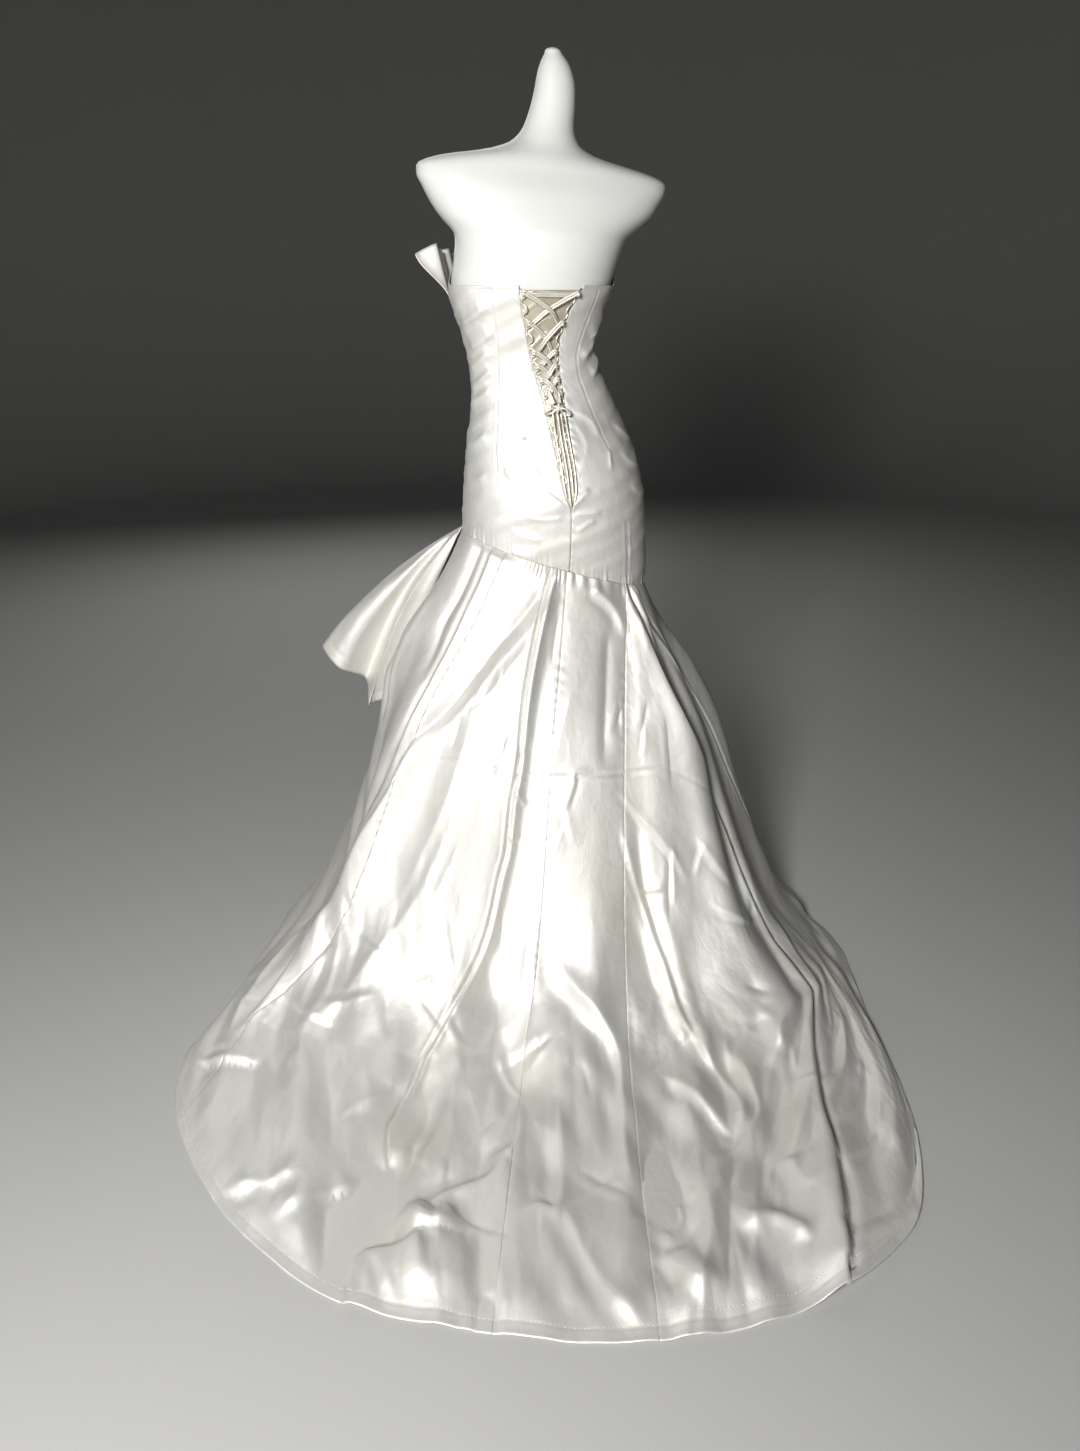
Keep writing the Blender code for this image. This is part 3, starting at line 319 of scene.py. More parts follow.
@dataclass(frozen=True)
class BodyShape:
    """The surface that the gown is cut for.

    Attributes:
        shoulder_tilt: How far the shoulder line drops towards the wearer's right.
        tilt_start: Height where the tilt starts.
        tilt_end: Height where it is full.
        cup_rise: How far one cup stands out.
        cup_angle: Angle of a cup's middle from the front.
        cup_spread: Half a cup's width in degrees.
        cup_height: Height of a cup's middle.
        cup_tall: Half a cup's height.
        hip_seam_height: Height of the slanting hip seam over the origin.
        hip_seam_slope: Its rise towards the wearer's left.
    """

    shoulder_tilt: float = 0.065
    tilt_start: float = 1.200
    tilt_end: float = 1.330
    cup_rise: float = 0.020
    cup_angle: float = 37.0
    cup_spread: float = 24.0
    cup_height: float = 1.178
    cup_tall: float = 0.048
    hip_seam_height: float = 0.7555
    hip_seam_slope: float = 0.316

    def surface(self, angle: Array, height: Array, cup_share: float = 1.0) -> Array:
        """Gives points on the surface.

        Args:
            angle: Angle round the body.
            height: Height before the shoulders' tilt.
            cup_share: Share of the cups' rise.

        Returns:
            Points.
        """
        angle, height = np.broadcast_arrays(np.asarray(angle, float), np.asarray(height, float))
        centre_x, centre_y, wide, behind, ahead, square = (
            smooth_table(FORM_SECTIONS, height, column) for column in range(1, 7)
        )
        sine, cosine = np.sin(np.radians(angle)), np.cos(np.radians(angle))
        reach = np.where(cosine > 0, behind, ahead)
        from_front = np.abs(np.abs(wrapped(angle)) - 180.0)
        cup = np.exp(
            -(((from_front - self.cup_angle) / self.cup_spread) ** 2)
            - ((height - self.cup_height) / self.cup_tall) ** 2
        )
        rise = self.cup_rise * cup_share
        x = wide * np.sign(sine) * np.abs(sine) ** (2 / square) + rise * 0.5 * cup * sine
        y = reach * np.sign(cosine) * np.abs(cosine) ** (2 / square) + rise * cup * cosine
        tilt = self.shoulder_tilt * ease((height - self.tilt_start) / (self.tilt_end - self.tilt_start))
        tilt = tilt * np.clip((NECK_TIP[2] - height) / (NECK_TIP[2] - 1.40), 0.0, 1.0)
        return np.stack([centre_x + x, centre_y + y, height + tilt * x], axis=-1)

    def normals(self, angle: Array, height: Array) -> Array:
        """Returns the surface's outward normals."""
        return surface_normals(self.surface, np.asarray(angle, float), np.asarray(height, float), 1.5, 0.004)

    def lifted(self, angle: Array, height: Array, lift: Array) -> Array:
        """Returns points this far outside the surface."""
        angle, height = np.broadcast_arrays(np.asarray(angle, float), np.asarray(height, float))
        return self.surface(angle, height) + self.normals(angle, height) * np.asarray(lift)[..., None]

    def hip_seam(self, angle: Array) -> Array:
        """Returns the height of the slanting hip seam at this angle."""
        height = np.full(np.shape(angle), self.hip_seam_height)
        for _ in range(6):
            height = self.hip_seam_height + self.hip_seam_slope * self.surface(angle, height)[..., 0]
        return height

    def on_seam(self, points: Array, side: int) -> Array:
        """Returns the points moved up or down onto one side of the hip seam: 1 above it, -1 below."""
        moved = points.copy()
        moved[..., 2] = self.hip_seam_height + self.hip_seam_slope * points[..., 0] + side * SEAM_GAP / 2
        return moved

    def top_edge(self, angle: Array) -> Array:
        """Returns the height of the bodice's top edge."""
        return smooth_table(TOP_EDGE, wrapped(angle))

    def bodice_height(self, angle: Array, share: Array) -> Array:
        """Returns the height of a bodice point: share 0 is the hip seam and 1 the top edge."""
        bottom = self.hip_seam(angle) + SEAM_GAP / 2
        return bottom + share * (self.top_edge(angle) - bottom)

    def opening_edge(self, height: Array, side: int) -> Array:
        """Returns the angle of the back opening's edge: side 1 is the wearer's left, -1 the right."""
        return smooth_table(BACK_OPENING, height, 1) + side * smooth_table(BACK_OPENING, height, 2)

    def across_opening(self, share: Array, height: Array, lift: Array) -> Array:
        """Returns a point in the opening: share 0 is its left edge and 1 its right edge."""
        left, right = self.opening_edge(height, 1), self.opening_edge(height, -1)
        return self.lifted(left + (right - left) * share, height, lift)

    def beside_edge(self, height: Array, side: int, inset: Array, lift: Array) -> Array:
        """Gives a point in the opening, this far from its edge on one side.

        Args:
            height: Height of the point.
            side: 1 for the wearer's left edge and -1 for the right.
            inset: Distance from the edge.
            lift: Distance outside the surface.

        Returns:
            The point.
        """
        edge = self.opening_edge(height, side)
        at_edge = self.lifted(edge, height, lift)
        per_degree = np.linalg.norm(self.lifted(edge - side, height, lift) - at_edge, axis=-1)
        return self.lifted(edge - side * inset / per_degree, height, lift)


class CreaseKind(Enum):
    """The section of a crease."""

    RIDGE = "ridge"
    TROUGH = "trough"
    GROOVE = "groove"
    EDGE = "edge"
    CRUMPLE = "crumple"


def tent(s: Array) -> Array:
    """Returns a crisp crease's section: straight sides that meet in a narrow round."""
    return np.exp(-1.3 * (np.sqrt(s**2 + 0.05) - 0.224))


@dataclass(frozen=True)
class Crease:
    """One crease, fold edge or pressed line.

    Attributes:
        kind: Its section.
        path: Places that it runs through.
        width: Half its width in metres.
        height: How far it stands out or in.
        soft: For an edge, how many times wider its gentle side is.
        side: For an edge, 1 if the steep side is to the right of a path that runs down, -1 if to the left.
        shift: Distance from the path, to the right of a path that runs down.
        fades: Shares of its length in which it rises and fades; 0 is none.
    """

    kind: CreaseKind
    path: tuple[Place, ...]
    width: float
    height: float
    soft: float = 5.0
    side: int = 1
    shift: float = 0.0
    fades: tuple[float, float] = (0.25, 0.25)

    def section(self, s: Array) -> Array:
        """Returns the crease's section at this many half widths from its line."""
        if self.kind is CreaseKind.RIDGE:
            return tent(s)
        if self.kind is CreaseKind.TROUGH:
            return -0.5 * np.exp(-(s**2)) - 0.5 * tent(s)
        if self.kind is CreaseKind.GROOVE:
            return -np.exp(-(s**2)) + 0.35 * bell(np.abs(s) - 2.2, 1.1)
        if self.kind is CreaseKind.CRUMPLE:
            return tent(np.where(s < 0, s * 1.3, s * 0.42)) - 0.35 * bell(s + 1.9, 1.1)
        turned = s * self.side
        steep = 1.0 - ease(turned / 1.3) - 0.25 * bell(turned - 2.0, 1.1)
        return np.where(turned < 0, tent(turned / self.soft * 1.3), steep)

    def reach(self) -> float:
        """Returns how far from its line the crease is felt."""
        widest = {CreaseKind.EDGE: self.soft, CreaseKind.CRUMPLE: 3.0}.get(self.kind, 1.6)
        return 2.6 * self.width * widest + abs(self.shift)


@dataclass
class CreaseField:
    """Creases on one surface.

    Attributes:
        creases: The creases.
        surface: Gives points for the two places of a path.
        batch: Points that are worked out together.
    """

    creases: Sequence[Crease]
    surface: Callable[[Array, Array], Array]
    batch: int = 6000

    def heights(self, points: Array, normals: Array) -> Array:
        """Adds up the creases' heights.

        Args:
            points: Points on the surface.
            normals: Its normals there.

        Returns:
            How far out each point goes.
        """
        flat, facing = points.reshape(-1, 3), normals.reshape(-1, 3)
        total = np.zeros(len(flat))
        for crease in self.creases:
            places = smooth_path(np.array(crease.path), 8)
            line = self.surface(places[:, 0], places[:, 1])
            low, high = line.min(0) - crease.reach(), line.max(0) + crease.reach()
            index = np.flatnonzero(np.all((flat > low) & (flat < high), axis=1))
            for start in range(0, len(index), self.batch):
                at = index[start : start + self.batch]
                total[at] += self._one(crease, line, flat[at], facing[at])
        return total.reshape(points.shape[:-1])

    def _one(self, crease: Crease, line: Array, points: Array, normals: Array) -> Array:
        """Works out one crease's height at points near it.

        Args:
            crease: The crease.
            line: Points of its line.
            points: Points near it.
            normals: The surface's normals there.

        Returns:
            One height for each point.
        """
        stretch = np.diff(line, axis=0)
        length = np.maximum(np.linalg.norm(stretch, axis=1), 1e-9)
        run = np.concatenate([[0.0], np.cumsum(length)])
        from_start = points[:, None, :] - line[None, :-1, :]
        t = np.clip(np.einsum("ijk,jk->ij", from_start, stretch) / length**2, 0.0, 1.0)
        off = from_start - t[..., None] * stretch
        best = np.argmin(np.einsum("ijk,ijk->ij", off, off), axis=1)
        row = np.arange(len(points))
        off, t = off[row, best], t[row, best]
        tangent = stretch[best] / length[best][:, None]
        side = np.sign(np.einsum("ij,ij->i", np.cross(tangent, off), normals))
        s = (side * np.linalg.norm(off, axis=1) - crease.shift) / crease.width
        along = (run[best] + t * length[best]) / run[-1]
        start, end = crease.fades
        fade = ease(along / start) if start > 0 else 1.0
        fade = fade * (ease((1 - along) / end) if end > 0 else 1.0)
        return crease.height * crease.section(s) * fade


@dataclass
class SkirtShape:
    """The skirt's surface: threads that fall from the hip seam and run out over the floor.

    Attributes:
        body: The surface that it hangs from.
        blend: Radius of the bend onto the floor.
        full_blend_run: The run over the floor at which the bend is full.
        sink_rate: How fast the straight fall would sink below the floor.
        lying_height: Folds flatten out below this height.
        lying_fold_loss: Share of a fold's height that is lost there.
        fall_samples: Points on a thread's fall.
        run_samples: Points on its run over the floor.
        rows: Rows of the stored grid.
        step: Degrees between its threads.
    """

    body: BodyShape
    blend: float = 0.075
    full_blend_run: float = 0.15
    sink_rate: float = 0.9
    lying_height: float = 0.10
    lying_fold_loss: float = 0.3
    fall_samples: int = 180
    run_samples: int = 90
    rows: int = 241
    step: float = 1.0
    _grid: Array = field(init=False, repr=False)

    def __post_init__(self) -> None:
        """Stores the skirt without folds as a grid."""
        threads = np.arange(-184.0, 184.0 + self.step, self.step)
        paths = self._paths(threads)
        shares = np.linspace(0.0, 1.0, self.rows)
        grid = np.empty((len(threads), self.rows, 3))
        for at, path in enumerate(paths):
            run = np.concatenate([[0.0], np.cumsum(np.linalg.norm(np.diff(path, axis=0), axis=1))])
            for axis in range(3):
                grid[at, :, axis] = np.interp(shares * run[-1], run, path[:, axis])
        before = 2 * grid[:, :1] - grid[:, 1:2]
        after = 2 * grid[:, -1:] - grid[:, -2:-1]
        self._grid = np.concatenate([before, grid, after], axis=1)

    def _paths(self, thread: Array) -> Array:
        """Gives each thread's path from the hip seam to the hem.

        Args:
            thread: The threads.

        Returns:
            Points (thread, sample, 3).
        """
        thread = wrapped(thread)
        angle = smooth_table(THREADS, thread, 1)
        direction = smooth_table(THREADS, thread, 2)
        seam = self.body.lifted(angle, self.body.hip_seam(angle) - SEAM_GAP / 2, BODICE_LIFT)
        landing = self._on_floor(thread, smooth_table(LANDING_OUTLINE, thread))
        end = self._on_floor(direction, smooth_table(HEM_OUTLINE, direction))
        run_length = np.linalg.norm(end - landing, axis=-1)[:, None]
        drop = np.linspace(0.0, 1.0, self.fall_samples)
        out = smooth_table(SKIRT_FALL, drop)
        fall_xy = seam[:, None, :2] + (landing - seam[:, :2])[:, None, :] * out[None, :, None]
        fall_z = seam[:, 2:3] * (1 - drop)[None, :]
        run = np.linspace(0.0, 1.0, self.run_samples + 1)[1:]
        run_xy = landing[:, None, :] + (end - landing)[:, None, :] * run[None, :, None]
        path_z = np.concatenate([fall_z, -self.sink_rate * run_length * run[None, :]], axis=1)
        blend = self.blend * ease(run_length / self.full_blend_run)
        path_z = (path_z + np.sqrt(path_z**2 + blend**2)) / 2
        path_z = path_z - path_z[:, -1:] * ease(np.linspace(0, 1, path_z.shape[1]) * 2 - 1)
        path_xy = np.concatenate([fall_xy, run_xy], axis=1)
        return np.concatenate([path_xy, path_z[..., None] + FLOOR_CLEARANCE], axis=-1)

    @staticmethod
    def _on_floor(direction: Array, distance: Array) -> Array:
        """Returns floor points in this direction from the body."""
        turn = np.radians(direction)
        return np.stack([np.sin(turn) * distance, np.cos(turn) * distance], axis=-1)

    def base(self, thread: Array, share: Array) -> Array:
        """Gives points of the skirt without folds.

        Args:
            thread: The threads.
            share: Shares of the way down, 0 at the hip seam and 1 at the hem.

        Returns:
            Points.
        """
        thread, share = np.broadcast_arrays(np.asarray(thread, float), np.asarray(share, float))
        u = (wrapped(thread) + 184.0) / self.step
        v = np.clip(share, 0.0, 1.0) * (self.rows - 1) + 1
        column = np.floor(u).astype(int)
        row = np.minimum(np.floor(v).astype(int), self.rows - 1)
        across, down = cubic_weights(u - column), cubic_weights(v - row)
        points = np.zeros(thread.shape + (3,))
        for i in range(4):
            for j in range(4):
                weight = across[..., i] * down[..., j]
                points += weight[..., None] * self._grid[column - 1 + i, row - 1 + j]
        return points

    def base_normals(self, thread: Array, share: Array) -> Array:
        """Returns outward normals of the skirt without folds."""
        return surface_normals(self.base, np.asarray(thread, float), np.asarray(share, float), 1.5, -0.01)

    def fold_height(self, thread: Array, share: Array) -> Array:
        """Returns how far the large folds push the skirt out."""
        total = np.zeros(np.shape(thread))
        for top, middle, hem, start, end, height, width in SKIRT_FOLDS:
            upper = top + (middle - top) * share * 2
            centre = np.where(share < 0.5, upper, middle + (hem - middle) * (share * 2 - 1))
            rising = ease((share - start) / max(0.25, (end - start) / 2))
            fading = 1.0 if end >= 1.0 else 1 - ease((share - end + 0.25) / 0.35)
            total = total + height * bell(wrapped(thread - centre), width) * rising * fading
        return total

    def lying(self, base: Array) -> Array:
        """Returns 1 where the cloth lies on the floor and 0 where it hangs."""
        return 1 - ease(base[..., 2] / self.lying_height)


class NodeMaker:
    """A node tree, with short ways to add and join its nodes."""

    tree: bpy.types.NodeTree

    def add(self, kind: str, settings: dict | None = None, **inputs: object) -> bpy.types.Node:
        """Adds a node.

        Args:
            kind: The node's type.
            settings: Its properties.
            **inputs: Its inputs by name, with _ for a space: a value, or the socket that feeds it.

        Returns:
            The node.
        """
        node = self.tree.nodes.new(kind)
        for name, value in (settings or {}).items():
            setattr(node, name, value)
        for name, value in inputs.items():
            self.join(next(s for s in node.inputs if s.name == name.replace("_", " ") and s.enabled), value)
        return node

    def join(self, socket: Socket, value: object) -> None:
        """Feeds a socket from another, or gives it a value."""
        if isinstance(value, Socket):
            self.tree.links.new(value, socket)
        else:
            socket.default_value = value


class NodeSheet(NodeMaker):
    """A material's node tree."""

    def __init__(self, name: str) -> None:
        """Starts a material with a Principled shader."""
        self.material = bpy.data.materials.new(name)
        self.material.use_nodes = True
        self.tree = self.material.node_tree
        self.shader = self.tree.nodes["Principled BSDF"]

    def dress(self, **inputs: object) -> None:
        """Sets the shader's inputs by name, with _ for a space."""
        for name, value in inputs.items():
            self.join(self.shader.inputs[name.replace("_", " ")], value)

    def object_place(self) -> Socket:
        """Returns the place on the object in metres."""
        return self.add("ShaderNodeTexCoord").outputs["Object"]

    def cloth_place(self, stretch: tuple[float, float], flat: bool) -> Socket:
        """Returns the place on the flat cloth, or else on the object, times these factors."""
        place = self.object_place()
        if flat:
            place = self.add("ShaderNodeUVMap", {"uv_map": "cloth"}).outputs["UV"]
        return self.add("ShaderNodeMapping", Vector=place, Scale=(*stretch, 1.0)).outputs["Vector"]

    def noise(
        self, place: Socket, scale: float, detail: float, distortion: float = 0.0
    ) -> Socket:
        """Returns a noise pattern's value, with this many bumps a metre."""
        node = self.add("ShaderNodeTexNoise", Vector=place, Scale=scale, Detail=detail, Distortion=distortion)
        return node.outputs["Fac"]

    def spread(self, value: Socket, low: float, high: float) -> Socket:
        """Returns the pattern's usual range stretched to run from low to high."""
        node = self.add("ShaderNodeMapRange", Value=value)
        for name, number in (("From Min", 0.3), ("From Max", 0.7), ("To Min", low), ("To Max", high)):
            node.inputs[name].default_value = number
        return node.outputs["Result"]

    def bump(
        self, height: Socket, distance: float, strength: float, under: object = None
    ) -> Socket:
        """Returns a normal with this relief, over another normal if there is one."""
        node = self.add("ShaderNodeBump", Height=height, Distance=distance, Strength=strength)
        if under is not None:
            self.join(node.inputs["Normal"], under)
        return node.outputs["Normal"]

    def mix(self, share: Socket, first: object, second: object) -> Socket:
        """Returns a colour between two."""
        node = self.add("ShaderNodeMix", {"data_type": "RGBA"})
        for socket, value in zip((node.inputs[0], node.inputs[6], node.inputs[7]), (share, first, second)):
            self.join(socket, value)
        return node.outputs[2]


@dataclass(frozen=True)
class SatinFinish:
    """Duchess satin: a soft gloss over small dents and crushed creases, with a faint warm shift.

    Attributes:
        name: The material's name.
        light: Colour of most of it.
        warm: Colour of its slightly yellowed places.
        roughness: Roughness of its smoothest and its most crushed places.
        lustre: Share of the light that its threads mirror.
        dent_depth: Depth of the soft dents.
        crush_depth: Depth of the crushed creases.
        facet_depth: Depth of the small crushed facets.
        flat_cloth: Whether its grain follows a cloth laid flat.
    """

    name: str = "ivory_satin_cloth"
    light: Colour = (0.80, 0.798, 0.782, 1.0)
    warm: Colour = (0.76, 0.745, 0.70, 1.0)
    roughness: tuple[float, float] = (0.53, 0.65)
    lustre: float = 0.42
    dent_depth: float = 0.0014
    crush_depth: float = 0.0011
    facet_depth: float = 0.0
    flat_cloth: bool = True

    def build(self) -> Material:
        """Builds the material."""
        sheet = NodeSheet(self.name)
        place = sheet.object_place()
        grain = sheet.cloth_place((1.0, 0.42), self.flat_cloth)
        weave = sheet.cloth_place((1.0, 1.0), self.flat_cloth)
        warm = sheet.spread(sheet.noise(place, 5.0, 3.0), 0.0, 0.75)
        dents = sheet.bump(sheet.noise(place, 15.0, 2.0, 0.8), self.dent_depth, 0.55)
        if self.facet_depth > 0:
            wandering = sheet.add("ShaderNodeTexNoise", Vector=place, Scale=22.0, Detail=2.0).outputs["Color"]
            shifted = sheet.add("ShaderNodeVectorMath", {"operation": "MULTIPLY_ADD"})
            for socket, value in zip(shifted.inputs, (wandering, (0.05, 0.05, 0.05), grain)):
                sheet.join(socket, value)
            cells = sheet.add("ShaderNodeTexVoronoi", Vector=shifted.outputs["Vector"], Scale=30.0)
            dents = sheet.bump(cells.outputs["Distance"], self.facet_depth, 0.5, dents)
        crush = sheet.bump(sheet.noise(grain, 62.0, 3.0, 0.9), self.crush_depth, 0.5, dents)
        ribs = sheet.cloth_place((9.0, 1.0), self.flat_cloth)
        slub = sheet.bump(sheet.noise(ribs, 240.0, 1.0), 0.00012, 0.35, crush)
        threads = sheet.bump(sheet.noise(weave, 1900.0, 1.0), 0.00006, 0.35, slub)
        sheet.dress(
            Base_Color=sheet.mix(warm, self.light, self.warm),
            Roughness=sheet.spread(sheet.noise(grain, 34.0, 3.0), *self.roughness),
            Normal=threads,
            Metallic=self.lustre,
            Specular_IOR_Level=0.6,
            Anisotropic=0.3,
        )
        return sheet.material


@dataclass(frozen=True)
class ShellFinish:
    """Gloss lacquer over a slightly uneven moulded shell.

    Attributes:
        name: The material's name.
        light: Its colour.
        worn: Its colour where it is handled.
    """

    name: str = "gloss_shell"
    light: Colour = (0.78, 0.79, 0.775, 1.0)
    worn: Colour = (0.73, 0.74, 0.725, 1.0)

    def build(self) -> Material:
        """Builds the material."""
        sheet = NodeSheet(self.name)
        place = sheet.object_place()
        smears = sheet.noise(place, 9.0, 4.0, 0.4)
        waves = sheet.bump(sheet.noise(place, 7.0, 1.0), 0.002, 0.25)
        peel = sheet.bump(sheet.noise(place, 420.0, 1.0), 0.00004, 0.3, waves)
        sheet.dress(
            Base_Color=sheet.mix(sheet.spread(smears, 0.0, 0.5), self.light, self.worn),
            Roughness=sheet.spread(smears, 0.34, 0.44),
            Normal=peel,
            Coat_Weight=0.12,
            Coat_Roughness=0.2,
        )
        return sheet.material


@dataclass(frozen=True)
class SteelFinish:
    """Steel tube brushed along its length.

    Attributes:
        name: The material's name.
        colour: Its colour.
    """

    name: str = "brushed_pole_steel"
    colour: Colour = (0.52, 0.52, 0.53, 1.0)

    def build(self) -> Material:
        """Builds the material."""
        sheet = NodeSheet(self.name)
        drawn = sheet.add("ShaderNodeMapping", Vector=sheet.object_place(), Scale=(1.0, 1.0, 0.02))
        lines = sheet.noise(drawn.outputs["Vector"], 900.0, 2.0)
        sheet.dress(
            Base_Color=self.colour,
            Metallic=1.0,
            Roughness=sheet.spread(lines, 0.26, 0.42),
            Normal=sheet.bump(lines, 0.00003, 0.4),
        )
        return sheet.material


@dataclass(frozen=True)
class FloorFinish:
    """Plain pale floor and backdrop.

    Attributes:
        name: The material's name.
        colour: Its colour.
        mottled: Colour of its slightly darker places.
    """

    name: str = "pale_floor"
    colour: Colour = (0.55, 0.55, 0.545, 1.0)
    mottled: Colour = (0.515, 0.515, 0.51, 1.0)

    def build(self) -> Material:
        """Builds the material."""
        sheet = NodeSheet(self.name)
        mottle = sheet.noise(sheet.object_place(), 3.0, 3.0)
        sheet.dress(
            Base_Color=sheet.mix(sheet.spread(mottle, 0.0, 0.2), self.colour, self.mottled),
            Roughness=0.75,
            Specular_IOR_Level=0.25,
        )
        return sheet.material


class Finishes:
    """The finishes that the pieces wear."""

    def __init__(self) -> None:
        """Builds each finish."""
        self.satin = SatinFinish().build()
        self.skirt = SatinFinish("ivory_satin_skirt", dent_depth=0.0012, facet_depth=0.0015).build()
        # Lining: both colours below are its own cream darkened as painted shade for the lacing gap; the
        # flounce's inner face wears it too.
        self.lining = SatinFinish(
            "cream_lining_painted_shade",
            light=(0.62, 0.60, 0.53, 1.0),
            warm=(0.56, 0.53, 0.44, 1.0),
            roughness=(0.42, 0.56),
            dent_depth=0.0025,
            crush_depth=0.0009,
        ).build()
        self.cord = SatinFinish(
            "ivory_satin_cord",
            light=(0.84, 0.82, 0.77, 1.0),
            warm=(0.79, 0.75, 0.67, 1.0),
            roughness=(0.34, 0.48),
            dent_depth=0.0004,
            crush_depth=0.0003,
            flat_cloth=False,
        ).build()
        self.shell = ShellFinish().build()
        self.steel = SteelFinish().build()
        self.floor = FloorFinish().build()


def add_piece(name: str, mesh: bpy.types.Mesh, materials: Sequence[Material]) -> bpy.types.Object:
    """Links a finished mesh to the scene as a piece with these materials."""
    piece = bpy.data.objects.new(name, mesh)
    for material in materials:
        mesh.materials.append(material)
    bpy.context.scene.collection.objects.link(piece)
    return piece


def grid_quads(rows: int, columns: int, start: int = 0, closed: bool = False) -> Array:
    """Gives the faces over a grid of points.

    Args:
        rows: Rows of points.
        columns: Columns of points.
        start: Number of the first point.
        closed: Whether the last column joins the first.

    Returns:
        Four point numbers for each face.
    """
    row = np.arange(rows - 1)[:, None]
    column = np.arange(columns if closed else columns - 1)[None, :]
    beside = (column + 1) % columns
    first, below = row * columns, (row + 1) * columns
    corners = [first + column, first + beside, below + beside, below + column]
    full = [np.broadcast_to(corner, (rows - 1, column.size)) for corner in corners]
    return np.stack(full, axis=-1).reshape(-1, 4) + start


def ring_mesh(name: str, rings: Array, closed_end: bool) -> bpy.types.Mesh:
    """Joins rings of points into a smooth skin whose first ring is filled.

    Args:
        name: The mesh's name.
        rings: The points, ring by ring.
        closed_end: Whether the last ring is filled too.

    Returns:
        The mesh.
    """
    count, columns = rings.shape[:2]
    faces = [tuple(quad) for quad in grid_quads(count, columns, closed=True).tolist()]
    faces.append(tuple(range(columns))[::-1])
    if closed_end:
        faces.append(tuple(range((count - 1) * columns, count * columns)))
    mesh = bpy.data.meshes.new(name)
    mesh.from_pydata([tuple(point) for point in rings.reshape(-1, 3)], [], faces)
    mesh.shade_smooth()
    return mesh


def mesh_of(name: str, points: Array, faces: Sequence[Sequence[int]], uv: Array) -> bpy.types.Mesh:
    """Builds a smooth mesh whose faces point out of it.

    Args:
        name: The mesh's name.
        points: Its points.
        faces: The point numbers of each face.
        uv: Each point's place on the cloth, in metres.

    Returns:
        The mesh.
    """
    mesh = bpy.data.meshes.new(name)
    mesh.vertices.add(len(points))
    mesh.vertices.foreach_set("co", np.ascontiguousarray(points, np.float32).ravel())
    corners = np.array([corner for face in faces for corner in face], np.int32)
    starts = np.cumsum([0] + [len(face) for face in faces[:-1]]).astype(np.int32)
    mesh.loops.add(len(corners))
    mesh.loops.foreach_set("vertex_index", corners)
    mesh.polygons.add(len(faces))
    mesh.polygons.foreach_set("loop_start", starts)
    mesh.update(calc_edges=True)
    layer = mesh.uv_layers.new(name="cloth")
    layer.data.foreach_set("uv", np.ascontiguousarray(uv[corners], np.float32).ravel())
    shape = bmesh.new()
    shape.from_mesh(mesh)
    bmesh.ops.recalc_face_normals(shape, faces=shape.faces)
    shape.to_mesh(mesh)
    shape.free()
    mesh.shade_smooth()
    return mesh


def wall_normals(points: Array, rows_run_down: bool) -> Array:
    """Works out the outward normals of a grid of cloth points.

    Args:
        points: The grid, with angles that grow along its rows.
        rows_run_down: Whether the rows run down the cloth.

    Returns:
        Unit normals.
    """
    across = np.gradient(points, axis=1)
    up = np.gradient(points, axis=0) * (-1.0 if rows_run_down else 1.0)
    return normalised(np.cross(up, across))


